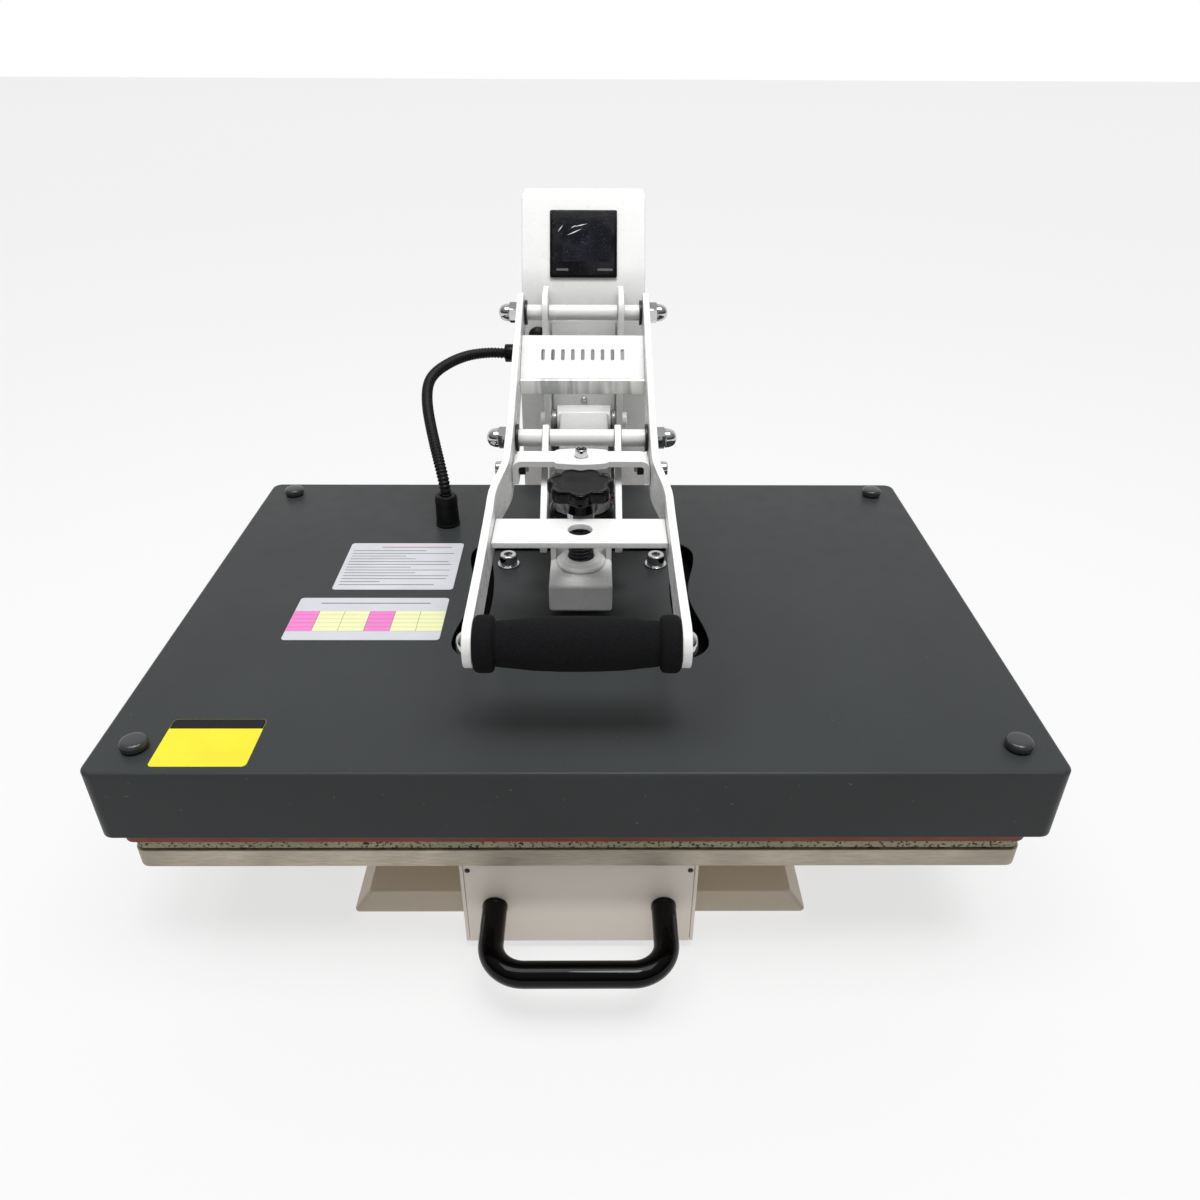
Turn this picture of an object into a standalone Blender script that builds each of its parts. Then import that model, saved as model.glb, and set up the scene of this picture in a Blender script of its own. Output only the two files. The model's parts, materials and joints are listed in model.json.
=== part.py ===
"""Clamshell heat press, 40 x 60 cm, with a magnet latch and a pull-out lower platen.

Written in millimetres and scaled to metres as each piece is made. The press is drawn
closed. x runs to the press's right, s runs back from the front face of the top cover,
and z runs up from the table. The operator stands at the low end of s.
"""

import math

import bmesh
import bpy
from mathutils import Vector

MM = 0.001
GAP = 0.3  # kept between pieces that touch
FRONT_S = -50.0  # front of the drawer handle
REAR_S = 600.0  # back of the base
MID_S = (FRONT_S + REAR_S) / 2

# Pivots, as (s, z)
HANDLE_PIVOT = (466.0, 347.0)
LINK_PIVOT = (310.0, 283.0)
ARM_END_PIVOT = (226.0, 228.5)
ARM_PIVOT = (475.0, 236.0)

# Platens
PLATEN_X = 302.0
PLATEN_S = (14.0, 414.0)
PLATE_Z = (89.0, 104.7)
PAD_Z = (105.0, 115.0)
HEATER_Z = (115.3, 133.0)
COVER_X = 311.5
COVER_S = (0.0, 428.0)
COVER_Z = (131.0, 186.0)
COVER_WALL = 2.0
CENTRE_S = 214.0  # where the pressure screw meets the platen

# Base and drawer
FOOT_TOP = 8.0
BASE_X = 171.0
BASE_S = (43.0, REAR_S)
BASE_TOP = 19.0
SKIRT = 11.0
PANEL_X = 83.0
PANEL_S = 16.0
PANEL_Z = (8.5, 88.7)
SHEET = 2.5
PULL_Z = 47.0
PULL_X = 60.0
PULL_R = 9.0
PULL_BAR_S = FRONT_S + PULL_R
SLIDE_TOP = 76.0

# Column and control box
COLUMN_X = 60.0
COLUMN_S = (494.0, 585.0)
FACE_LOW = (494.0, 363.0)
FACE_HIGH = (541.0, 440.0)
UPRIGHT_X = (33.0, 38.5)
UPRIGHT_S = (446.0, 493.7)
UPRIGHT_TOP = 366.0

# Handle
PLATE_THICK = 6.0
INNER_X = 56.0  # inner face of the handle plates behind their bend
SPREAD = 8.0  # how far the plates step outwards in front of it
STEP_S = (258.0, 203.0)
GRIP = (41.0, 256.0)
BRACKET_BOLT = (268.0, 273.5)
BAR_S = (156.0, 194.0)
BAR_Z = (260.0, 265.0)
ROD_R = 5.0
SPACER_R = 7.2
LINK_X = (27.5, 33.0)

# Arm
ARM_X = 24.5
ARM_Z = (191.5, 216.0)
ARM_FRONT = 178.0
MAGNET_S = 268.0
MAGNET_TOP = 272.7
STRAP_TOP = 284.0
STRAP_THICK = 5.0
SCREW_R = 10.0
KNOB_Z = (276.0, 286.5)
GUIDE_S = (322.0, 392.0)  # guide pins that keep the platen square to the arm
BOLTS = [(sign * 64.0, CENTRE_S + reach) for sign in (-1, 1) for reach in (-60.0, 60.0)]

# Heater cable
GLAND = (508.0, 295.0)
BOOT = (-125.0, 339.5)
BOOT_TOP = 216.3
CONDUIT_R = 5.3

# The sleeve's route, chosen by hand, from the column's gland to the boot on the cover
ROUTE = [(-77.4, 508.0, 295.0), (-84.0, 508.0, 295.0), (-96.0, 505.5, 296.0), (-112.0, 496.0, 297.0),
         (-126.0, 482.0, 296.5), (-138.0, 466.0, 294.0), (-145.0, 453.0, 291.0),
         (-148.5, 441.0, 287.0), (-149.0, 427.0, 281.0), (-146.5, 409.0, 273.0),
         (-141.5, 388.0, 264.0), (-136.0, 369.0, 254.0), (-131.0, 354.0, 243.5),
         (-127.0, 344.0, 232.0), (-125.0, 339.5, 222.0), (-125.0, 339.5, 216.9)]

PLACES = {"X": (1, 2, 0), "S": (0, 2, 1), "Z": (0, 1, 2)}

for old in list(bpy.data.objects):
    bpy.data.objects.remove(old, do_unlink=True)


def material(name, colour, roughness, metallic=0.0):
    made = bpy.data.materials.new(name)
    made.use_nodes = True
    shader = made.node_tree.nodes["Principled BSDF"]
    shader.inputs["Base Color"].default_value = (*colour, 1.0)
    shader.inputs["Roughness"].default_value = roughness
    shader.inputs["Metallic"].default_value = metallic
    return made


WHITE = material("white_powder_coat", (0.84, 0.84, 0.82), 0.38)
CREAM = material("cream_powder_coat", (0.74, 0.71, 0.66), 0.42)
GREY = material("grey_powder_coat", (0.075, 0.082, 0.088), 0.36)
BLACK = material("black_plastic", (0.012, 0.012, 0.013), 0.22)
RUBBER = material("black_rubber", (0.02, 0.02, 0.02), 0.75)
FOAM = material("grip_foam", (0.012, 0.012, 0.013), 0.95)
PAD = material("speckled_foam", (0.33, 0.32, 0.24), 0.9)
ALUMINIUM = material("brushed_aluminium", (0.55, 0.53, 0.5), 0.42, 0.9)
COATING = material("red_release_coat", (0.2, 0.035, 0.02), 0.5)
CHROME = material("chrome", (0.75, 0.75, 0.76), 0.12, 1.0)
ZINC = material("zinc_steel", (0.5, 0.51, 0.52), 0.32, 1.0)
GLASS = material("display_glass", (0.006, 0.007, 0.009), 0.06)
WOOL = material("ceramic_wool", (0.7, 0.69, 0.64), 0.95)
BOARD = material("circuit_green", (0.02, 0.13, 0.06), 0.5)


# ---------------------------------------------------------------- making shapes


def loft(name, rings, look, smooth_below=None):
    """One closed body through rings of equally many (x, s, z) points, with flat ends."""
    mesh = bpy.data.meshes.new(name)
    made = bmesh.new()
    loops = [[made.verts.new(Vector((x, s - MID_S, z)) * MM) for x, s, z in ring] for ring in rings]
    for low, high in zip(loops, loops[1:]):
        for i, vert in enumerate(low):
            j = (i + 1) % len(low)
            made.faces.new((vert, low[j], high[j], high[i]))
    made.faces.new(loops[0])
    made.faces.new(loops[-1])
    bmesh.ops.recalc_face_normals(made, faces=made.faces)
    made.to_mesh(mesh)
    made.free()
    if smooth_below:
        mesh.shade_smooth()
        mesh.set_sharp_from_angle(angle=math.radians(smooth_below))
    mesh.materials.append(look)
    piece = bpy.data.objects.new(name, mesh)
    bpy.context.scene.collection.objects.link(piece)
    return piece


def along(axis, flat, height):
    """A point whose two flat coordinates lie across the axis, at a height along it."""
    point = [0.0, 0.0, 0.0]
    first, second, third = PLACES[axis]
    point[first], point[second], point[third] = flat[0], flat[1], height
    return tuple(point)


def prism(name, axis, outline, low, high, look, smooth_below=None):
    """An outline pushed along x, s or z. Outlines are (s, z), (x, z) or (x, s)."""
    rings = [[along(axis, flat, height) for flat in outline] for height in (low, high)]
    return loft(name, rings, look, smooth_below)


def box(name, x, s, z, look):
    outline = [(x[0], s[0]), (x[1], s[0]), (x[1], s[1]), (x[0], s[1])]
    return prism(name, "Z", outline, z[0], z[1], look)


def circle(centre, radius, sides, turn=0.0):
    points = []
    for i in range(sides):
        angle = turn + math.tau * i / sides
        points.append((centre[0] + radius * math.cos(angle), centre[1] + radius * math.sin(angle)))
    return points


def turned(name, axis, centre, profile, look, sides=24):
    """A solid of revolution. The profile is (radius, height) from one end to the other."""
    rings = []
    for radius, height in profile:
        rings.append([along(axis, flat, height) for flat in circle(centre, radius, sides)])
    return loft(name, rings, look, 40)


def arc(centre, radius, start, end, steps):
    """Points on an arc, from one angle in degrees to another."""
    points = []
    for i in range(steps + 1):
        angle = math.radians(start + (end - start) * i / steps)
        points.append((centre[0] + radius * math.cos(angle), centre[1] + radius * math.sin(angle)))
    return points


def rounded(x, y, radius, steps=4):
    """A rectangle with round corners."""
    points = arc((x[1] - radius, y[0] + radius), radius, -90, 0, steps)
    points += arc((x[1] - radius, y[1] - radius), radius, 0, 90, steps)
    points += arc((x[0] + radius, y[1] - radius), radius, 90, 180, steps)
    points += arc((x[0] + radius, y[0] + radius), radius, 180, 270, steps)
    return points


def stadium(first, second, radius_first, radius_second, steps=10):
    """The outline of a bar with round ends about two points."""
    lean = math.degrees(math.atan2(second[1] - first[1], second[0] - first[0]))
    points = arc(first, radius_first, lean + 90, lean + 270, steps)
    points += arc(second, radius_second, lean - 90, lean + 90, steps)
    return points


def hide(cutter):
    cutter.hide_render = True
    cutter.display_type = "WIRE"


def combine(piece, operation, others):
    for other in others:
        change = piece.modifiers.new(operation.lower(), "BOOLEAN")
        change.operation = operation
        change.solver = "EXACT"
        change.object = other
        hide(other)
    return piece


def cut(piece, *cutters):
    return combine(piece, "DIFFERENCE", cutters)


def fuse(piece, *others):
    return combine(piece, "UNION", others)


def hole(axis, centre, radius, low, high, sides=20):
    return prism("cutter", axis, circle(centre, radius, sides), low, high, BLACK)


def swept_tube(name, path, z, radius, sides, look):
    """A round bar along a path of (x, s) points that lies flat at height z."""
    rings = []
    for i, (x, s) in enumerate(path):
        before, after = path[max(i - 1, 0)], path[min(i + 1, len(path) - 1)]
        forward = Vector((after[0] - before[0], after[1] - before[1])).normalized()
        side = Vector((-forward.y, forward.x))
        ring = []
        for across, up in circle((0.0, 0.0), radius, sides):
            ring.append((x + side.x * across, s + side.y * across, z + up))
        rings.append(ring)
    return loft(name, rings, look, 50)


# ---------------------------------------------------------------- base and column


def base_plate():
    """A folded tray with sloping skirts, open underneath."""
    low = ((-BASE_X, BASE_X), BASE_S)
    high = ((-BASE_X + SKIRT, BASE_X - SKIRT), (BASE_S[0] + SKIRT, BASE_S[1] - SKIRT))

    def ring(size, inset, z):
        x = (size[0][0] + inset, size[0][1] - inset)
        s = (size[1][0] + inset, size[1][1] - inset)
        return [(a, b, z) for a, b in rounded(x, s, 3.0, 2)]

    wall = 3.4
    rings = [ring(high, wall, BASE_TOP - SHEET), ring(low, wall, FOOT_TOP), ring(low, 0, FOOT_TOP),
             ring(high, 0, BASE_TOP)]
    loft("base_plate", rings, CREAM)


def feet():
    """Rubber feet whose necks press up into the tray."""
    for across, side in ((-1, "left"), (1, "right")):
        for s, end in ((75.0, "front"), (568.0, "rear")):
            profile = [(12.0, 0.0), (14.0, 1.5), (13.0, FOOT_TOP + 1), (9.0, BASE_TOP - SHEET - GAP)]
            turned(f"foot_{end}_{side}", "Z", (across * 138.0, s), profile, RUBBER, 20)


def drawer_support():
    """A channel on the base that the slides are screwed to."""
    half, floor, top = 70.0, BASE_TOP + GAP, SLIDE_TOP
    outline = [(-half, floor), (half, floor), (half, top), (half - SHEET, top), (half - SHEET, floor + SHEET),
               (SHEET - half, floor + SHEET), (SHEET - half, top), (-half, top)]
    prism("drawer_support", "S", outline, 70.0, 432.0, CREAM)


def slides():
    """Telescopic slides: a channel on the base and a runner on the drawer, each side."""
    for sign, side in ((-1, "left"), (1, "right")):
        top, floor = SLIDE_TOP, SLIDE_TOP - 38.0
        outer = [(70.3, floor), (75.9, floor), (75.9, floor + 1.5), (71.8, floor + 1.5), (71.8, top - 1.5),
                 (75.9, top - 1.5), (75.9, top), (70.3, top)]
        far = PANEL_X - SHEET - 0.4
        inner = [(72.4, floor + 5), (far, floor + 5), (far, top - 5), (72.4, top - 5)]
        prism(f"slide_channel_{side}", "S", [(sign * x, z) for x, z in outer], 70.0, 430.0, ZINC)
        prism(f"slide_runner_{side}", "S", [(sign * x, z) for x, z in inner], 72.0, 428.0, ZINC)


def uprights():
    """Two steel plates that carry the handle pivot and the arm pivot."""
    s, top = UPRIGHT_S, UPRIGHT_TOP
    outline = [(s[0] - 14, BASE_TOP + GAP), (s[1], BASE_TOP + GAP), (s[1], top)]
    outline += arc((s[0] + 16, top - 16), 16, 90, 180, 6)
    outline += [(s[0], 70.0)]
    for sign, side in ((-1, "left"), (1, "right")):
        low, high = sorted((sign * UPRIGHT_X[0], sign * UPRIGHT_X[1]))
        plate = prism(f"upright_{side}", "X", outline, low, high, WHITE)
        cut(plate, hole("X", HANDLE_PIVOT, ROD_R + GAP, low - 1, high + 1),
            hole("X", ARM_PIVOT, 6.0 + GAP, low - 1, high + 1))


def face_point(distance, depth):
    """A point on the tilted control face, so far up it and so far in front of it."""
    run = math.hypot(FACE_HIGH[0] - FACE_LOW[0], FACE_HIGH[1] - FACE_LOW[1])
    up = ((FACE_HIGH[0] - FACE_LOW[0]) / run, (FACE_HIGH[1] - FACE_LOW[1]) / run)
    out = (-up[1], up[0])
    return (FACE_LOW[0] + up[0] * distance + out[0] * depth, FACE_LOW[1] + up[1] * distance + out[1] * depth)


def face_block(name, half, distance, reach, depth, look):
    """A block lying on the control face, half as wide as it says, between two depths."""
    corners = [face_point(distance - reach, depth[0]), face_point(distance + reach, depth[0]),
               face_point(distance + reach, depth[1]), face_point(distance - reach, depth[1])]
    return prism(name, "X", corners, -half, half, look)


DISPLAY_AT = 42.6  # up the control face


def column_shell():
    """The bent sheet column, whose top is the control box. Its back and foot are open."""
    s, floor = COLUMN_S, BASE_TOP + GAP
    bend = [(s[0], 345.0), (s[0] + 1.6, 356.0), (s[0] + 5.5, 369.0)]
    top = [(536.5, 433.0), (540.0, 438.0), (545.0, FACE_HIGH[1])]
    outline = [(s[1], floor), (s[0], floor)] + bend + top + [(s[1], FACE_HIGH[1])]
    shell = prism("column_shell", "X", outline, -COLUMN_X, COLUMN_X, WHITE, 30)
    inside = [(s[1] + 20, floor - 20), (s[0] + 2, floor - 20), (s[0] + 2, 345.0), (s[0] + 3.5, 355.5),
              (s[0] + 7.5, 368.5), (538.5, 432.0), (546.0, FACE_HIGH[1] - 2), (s[1] + 20, FACE_HIGH[1] - 2)]
    cavity = prism("cutter", "X", inside, 2 - COLUMN_X, COLUMN_X - 2, BLACK)
    window = face_block("cutter", 29.5, DISPLAY_AT, 29.5, (-12.0, 9.0), BLACK)
    gland_hole = hole("X", GLAND, 7.0, -COLUMN_X - 5, -COLUMN_X + 5)
    cut(shell, cavity, window, gland_hole)


def display_unit():
    face = face_block("display_unit", 32.5, DISPLAY_AT, 32.5, (GAP, 2.0), GLASS)
    fuse(face, face_block("display_body", 28.5, DISPLAY_AT, 28.5, (-14.0, 0.5), BLACK))
    face_block("circuit_board", 40.0, DISPLAY_AT, 34.0, (-18.0, -16.0), BOARD)


INLET_Z = (62.0, 112.0)


def rear_cover():
    """The panel that closes the column, with vent slots and the power inlet's cut-out."""
    s = COLUMN_S[1]
    half = COLUMN_X - 1.0
    panel = box("rear_cover", (-half, half), (s + GAP, s + 2.3), (BASE_TOP + GAP, 439.0), WHITE)
    slots = [box("cutter", (-30, 30), (s - 3, s + 6), (z, z + 4.0), BLACK) for z in range(330, 400, 12)]
    inlet = box("cutter", (-14.3, 14.3), (s - 3, s + 6), (INLET_Z[0] - GAP, INLET_Z[1] + GAP), BLACK)
    cut(panel, *slots, inlet)
    body = box("power_inlet", (-14.0, 14.0), (s - 24.0, s + 5.0), INLET_Z, BLACK)
    socket = box("cutter", (-11.0, 11.0), (s - 14.0, s + 9.0), (65.0, 82.0), BLACK)
    pocket = box("cutter", (-9.0, 9.0), (s - 12.0, s + 9.0), (87.0, 109.0), BLACK)
    cut(body, socket, pocket)
    axis_s, axis_z = s + 1.0, 98.0
    tilt = math.radians(9.0)
    rocker = []
    for back, up in ((-8.0, -7.5), (3.5, -10.0), (2.0, 0.0), (3.5, 10.0), (-8.0, 7.5)):
        rocker.append((axis_s + back * math.cos(tilt) + up * math.sin(tilt),
                       axis_z - back * math.sin(tilt) + up * math.cos(tilt)))
    prism("power_rocker", "X", rocker, -8.3, 8.3, BLACK)


def acorn_nut(name, sign, centre):
    """A closed dome nut against the outside of a handle plate."""
    start = INNER_X + PLATE_THICK + GAP
    hexagon = circle(centre, 9.8, 6, math.radians(30))
    low, high = sorted((sign * start, sign * (start + 8.0)))
    nut = prism(name, "X", hexagon, low, high, CHROME)
    dome = [(8.0, 7.0), (8.0, 10.5), (7.2, 14.0), (5.0, 16.7), (1.6, 18.0)]
    fuse(nut, turned("dome", "X", centre, [(r, sign * (start + out)) for r, out in dome], CHROME, 20))


def cross_rod(name, centre, clear, ends):
    """A rod with spacer tubes on it, thin where it passes through two inner plates."""
    half = [(SPACER_R, 0.0), (SPACER_R, clear[0] - GAP), (ROD_R, clear[0] - GAP), (ROD_R, clear[1] + GAP),
            (SPACER_R, clear[1] + GAP), (SPACER_R, INNER_X - 0.5), (ROD_R, INNER_X - 0.5), (ROD_R, ends)]
    profile = [(r, -x) for r, x in reversed(half)] + half[1:]
    turned(name, "X", centre, profile, ZINC, 16)


def pivots():
    cross_rod("top_rod", HANDLE_PIVOT, UPRIGHT_X, INNER_X + PLATE_THICK)
    cross_rod("mid_rod", LINK_PIVOT, LINK_X, INNER_X + PLATE_THICK)
    for sign, side in ((-1, "left"), (1, "right")):
        acorn_nut(f"top_nut_{side}", sign, HANDLE_PIVOT)
        acorn_nut(f"mid_nut_{side}", sign, LINK_PIVOT)
    head = 44.0
    half = [(6.0, UPRIGHT_X[1] + GAP), (8.0, UPRIGHT_X[1] + GAP), (8.0, head)]
    profile = [(r, -x) for r, x in reversed(half)] + half
    turned("arm_shaft", "X", ARM_PIVOT, profile, ZINC, 24)


# ---------------------------------------------------------------- handle


def plate_offset(s):
    """How far the handle plates have stepped outwards at s."""
    part = min(max((STEP_S[0] - s) / (STEP_S[0] - STEP_S[1]), 0.0), 1.0)
    return SPREAD * part * part * (3 - 2 * part)


def handle_plates():
    """Two long flat bars on edge, deepest at the middle rod, with round ends."""
    spine = [(HANDLE_PIVOT, 18.0), ((388.0, 315.5), 19.5), (LINK_PIVOT, 22.0), (BRACKET_BOLT, 20.0),
             ((245.0, 270.0), 18.5), ((224.0, 267.0), 17.2), ((203.0, 264.5), 16.0), ((175.0, 262.0), 15.0),
             ((110.0, 258.5), 14.5), (GRIP, 15.0)]
    stations = []
    first, second = Vector(spine[0][0]), Vector(spine[1][0])
    last, before = Vector(spine[-1][0]), Vector(spine[-2][0])
    back, front = (first - second).normalized(), (last - before).normalized()
    cap = [80, 60, 40, 20]
    for angle in cap:
        turn = math.radians(angle)
        stations.append((first + back * 18.0 * math.sin(turn), back, 18.0 * math.cos(turn)))
    for i, (point, half) in enumerate(spine):
        one, two = Vector(spine[max(i - 1, 0)][0]), Vector(spine[min(i + 1, len(spine) - 1)][0])
        stations.append((Vector(point), (one - two).normalized(), half))
    for angle in reversed(cap):
        turn = math.radians(angle)
        stations.append((last + front * 15.0 * math.sin(turn), -front, 15.0 * math.cos(turn)))
    for sign, side in ((-1, "left"), (1, "right")):
        rings = []
        for point, tangent, half in stations:
            normal = Vector((-tangent.y, tangent.x)) * half
            inner = INNER_X + plate_offset(point.x)
            outer = inner + PLATE_THICK
            rings.append([(sign * inner, *(point - normal)), (sign * outer, *(point - normal)),
                          (sign * outer, *(point + normal)), (sign * inner, *(point + normal))])
        plate = loft(f"handle_plate_{side}", rings, WHITE)
        low, high = sorted((sign * 50.0, sign * 80.0))
        cut(plate, hole("X", HANDLE_PIVOT, ROD_R + GAP, low, high), hole("X", GRIP, 6.3, low, high),
            hole("X", LINK_PIVOT, ROD_R + GAP, low, high), hole("X", BRACKET_BOLT, 3.3, low, high, 16))


def cross_panel():
    """The sloping panel between the handle plates, pierced by a row of slots."""
    high, low = (422.0, 338.0), (377.5, 311.0)
    slope = Vector((high[0] - low[0], high[1] - low[1])).normalized()
    out = Vector((-slope.y, slope.x)) * 3.0
    outline = [high, (high[0] - out.x, high[1] - out.y), (low[0] - out.x, low[1] - out.y - 1.0),
               (low[0] - out.x, 298.0), (low[0] - out.x - 3.0, 298.0), low]
    half = INNER_X - GAP
    panel = prism("cross_panel", "X", outline, -half, half, WHITE)
    middle = Vector(((high[0] + low[0]) / 2, (high[1] + low[1]) / 2)) + slope * 3
    reach = slope * 6.5
    over = out * 2
    ends = [middle + reach + over, middle - reach + over, middle - reach - over, middle + reach - over]
    slots = []
    for i in range(9):
        x = (i - 4) * 9.0
        slots.append(prism("cutter", "X", [tuple(p) for p in ends], x - 1.6, x + 1.6, BLACK))
    cut(panel, *slots)


def cross_bar():
    half = INNER_X + plate_offset(BAR_S[1]) - GAP
    bar = box("cross_bar", (-half, half), BAR_S, BAR_Z, WHITE)
    cut(bar, hole("Z", (0.0, 177.0), 9.0, BAR_Z[0] - 2, BAR_Z[1] + 2, 28))


def latch_bracket():
    """The strap over the magnet, with a round swelling in its middle and a leg each side."""
    outer, thick, top, foot = INNER_X - 0.5, STRAP_THICK, STRAP_TOP, 264.0
    half, chord, swell = 10.8, 19.3, 5.8
    front_view = [(-outer, foot), (-outer + thick, foot), (-outer + thick, top - thick),
                  (outer - thick, top - thick), (outer - thick, foot), (outer, foot)]
    front_view += arc((outer - 7, top - 7), 7, 0, 90, 4) + arc((7 - outer, top - 7), 7, 90, 180, 4)
    strap = prism("latch_bracket", "S", front_view, MAGNET_S - half, MAGNET_S + half, WHITE)
    radius = (chord ** 2 + swell ** 2) / (2 * swell)
    reach = math.degrees(math.asin(chord / radius))
    depth = half + swell - radius
    eye = arc((0.0, MAGNET_S + depth), radius, 90 - reach, 90 + reach, 8)
    eye += arc((0.0, MAGNET_S - depth), radius, 270 - reach, 270 + reach, 8)
    fuse(strap, prism("swelling", "Z", eye, top - thick, top, WHITE))
    cut(strap, hole("Z", (0.0, MAGNET_S), 5.3, top - 10, top + 5),
        hole("X", BRACKET_BOLT, 3.3, -outer - 4, outer + 4, 16))


def armature():
    """The steel keeper that the magnet holds, hung on a screw through the bracket."""
    low, high, head = MAGNET_TOP + GAP, MAGNET_TOP + GAP + 5.0, STRAP_TOP + GAP
    half_x, half_s, chamfer = 24.0, 10.0, 3.0
    plan = [(chamfer - half_x, MAGNET_S - half_s), (half_x - chamfer, MAGNET_S - half_s),
            (half_x, MAGNET_S - half_s + chamfer), (half_x, MAGNET_S + half_s - chamfer),
            (half_x - chamfer, MAGNET_S + half_s), (chamfer - half_x, MAGNET_S + half_s),
            (-half_x, MAGNET_S + half_s - chamfer), (-half_x, MAGNET_S - half_s + chamfer)]
    keeper = prism("armature_plate", "Z", plan, low, high, ZINC)
    screw = [(4.8, low + 1.0), (4.8, head), (5.1, head), (5.1, head + 5.7), (4.4, head + 6.3)]
    fuse(keeper, turned("screw", "Z", (0.0, MAGNET_S), screw, ZINC, 20))


def grip():
    """A steel rod between the plates and the foam sleeve round it."""
    edge = INNER_X + SPREAD
    outside = edge + PLATE_THICK + GAP
    half = [(6.0, 0.0), (6.0, outside), (8.0, outside), (8.0, outside + 2.0), (5.0, outside + 4.5)]
    turned("grip_rod", "X", GRIP, [(r, -x) for r, x in reversed(half)] + half[1:], CHROME, 16)
    ends = edge - GAP
    half = [(17.0, 0.0), (16.7, 26.0), (15.6, ends - 17.5), (14.6, ends - 15.8), (17.2, ends - 14.3),
            (18.0, ends - 12.5), (18.0, ends - 2.0), (16.5, ends), (6.4, ends)]
    profile = [(r, -x) for r, x in reversed(half)] + half[1:]
    rings = [[along("X", flat, height) for flat in circle(GRIP, radius, 20)] for radius, height in profile]
    foam = loft("grip_foam", rings, FOAM, 40)
    cut(foam, hole("X", GRIP, 6.4, -ends - 5, ends + 5, 16))


# ---------------------------------------------------------------- links and arm


def links():
    """Push links from the handle's middle rod to the arm, each with its end pin and nut."""
    outline = stadium(ARM_END_PIVOT, LINK_PIVOT, 9.0, 11.0)
    for sign, side in ((-1, "left"), (1, "right")):
        low, high = sorted((sign * LINK_X[0], sign * LINK_X[1]))
        link = prism(f"link_{side}", "X", outline, low, high, WHITE, 40)
        pin = [(4.0, ARM_X + GAP), (4.0, LINK_X[1] - 1.0), (6.4, LINK_X[1] - 1.0), (6.4, LINK_X[1] + 6.0),
               (4.0, LINK_X[1] + 6.0), (4.0, LINK_X[1] + 9.0)]
        fuse(link, turned("pin", "X", ARM_END_PIVOT, [(r, sign * x) for r, x in pin], ZINC, 12))
        cut(link, hole("X", LINK_PIVOT, ROD_R + GAP, low - 3, high + 3))


def arm_beam():
    """A square tube with a turned-up tail round the pivot sleeve, and two lugs on top."""
    floor, top = ARM_Z
    tail = [(446.0, floor), (485.0, 226.0), (484.0, 246.0), (462.0, 247.5), (430.0, top)]
    outline = [(ARM_FRONT, floor)] + tail + [(ARM_FRONT, top)]
    beam = prism("arm_beam", "X", outline, -ARM_X, ARM_X, WHITE)
    sleeve = prism("sleeve", "X", circle(ARM_PIVOT, 15.0, 28), -27.0, 27.0, WHITE)
    fuse(beam, sleeve)
    foot_front, foot_rear = ARM_END_PIVOT[0] - 7.0, ARM_END_PIVOT[0] + 13.0
    lug = arc(ARM_END_PIVOT, 7.5, 0, 180, 8) + [(foot_front, top - 1), (foot_rear, top - 1)]
    for sign in (-1, 1):
        low, high = sorted((sign * 19.8, sign * 24.3))
        fuse(beam, prism("lug", "X", lug, low, high, WHITE))
    wall = 3.0
    across = ARM_X - wall
    inside = box("cutter", (-across, across), (ARM_FRONT + wall, 440.0), (floor + wall, top - wall), BLACK)
    cut(beam, inside, hole("X", ARM_PIVOT, 6.3, -40, 40, 24), hole("X", ARM_END_PIVOT, 4.3, -40, 40, 12),
        hole("Z", (0.0, CENTRE_S), SCREW_R + 0.6, floor - 5, top + 20, 24))
    for s in GUIDE_S:
        cut(beam, hole("Z", (0.0, s), 4.5, floor - 5, floor + 5, 16))


def springs():
    """Torsion springs round the arm shaft, drawn as the sleeves their coils fill."""
    for sign, side in ((-1, "left"), (1, "right")):
        low, high = sorted((sign * (27.0 + GAP), sign * (UPRIGHT_X[0] - GAP)))
        coil = prism(f"opening_spring_{side}", "X", circle(ARM_PIVOT, 11.0, 24), low, high, ZINC, 40)
        cut(coil, hole("X", ARM_PIVOT, 6.4, low - 2, high + 2, 24))


def magnet():
    top = ARM_Z[1]
    base = [(26.5, top + GAP), (27.0, top + 1.5), (27.0, 238.5), (25.5, 240.0)]
    turned("magnet_base", "Z", (0.0, MAGNET_S), base, BLACK, 28)
    coil = [(23.0, 240.3), (24.0, 241.5), (24.0, MAGNET_TOP - 1.0), (23.0, MAGNET_TOP)]
    turned("electromagnet", "Z", (0.0, MAGNET_S), coil, CHROME, 28)


def pressure_screw():
    top = ARM_Z[1]
    centre = (0.0, CENTRE_S)
    flange = [(19.5, top + GAP), (19.5, top + 2.6), (16.4, top + 3.2), (15.8, top + 5.6), (13.2, top + 6.2)]
    bush = turned("screw_bush", "Z", centre, flange, WHITE, 24)
    cut(bush, hole("Z", centre, SCREW_R + 0.4, top - 5, top + 20, 24))
    screw = [(5.0, 167.5), (6.0, 168.5), (6.0, 188.0), (SCREW_R, 188.0), (SCREW_R, 262.7)]
    turned("pressure_screw", "Z", centre, screw, RUBBER, 24)
    lobes = []
    for i in range(56):
        angle = math.tau * i / 56 + math.pi / 2
        wave = math.cos(7 * (angle + math.pi / 2))
        radius = 24.4 + 2.2 * wave - 0.5 * wave * wave
        lobes.append((radius, angle))

    def ring(scale, z):
        return [(r * scale * math.cos(a), CENTRE_S + r * scale * math.sin(a), z) for r, a in lobes]

    low, high = KNOB_Z
    rings = [ring(0.95, low), ring(1.0, low + 1.2), ring(1.0, high - 1.8), ring(0.95, high)]
    knob = loft("star_knob", rings, BLACK, 30)
    fuse(knob, turned("hub", "Z", centre, [(12.5, 263.0), (13.0, 264.0), (13.0, low + 1.0)], BLACK, 24))


# ---------------------------------------------------------------- top platen


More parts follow.
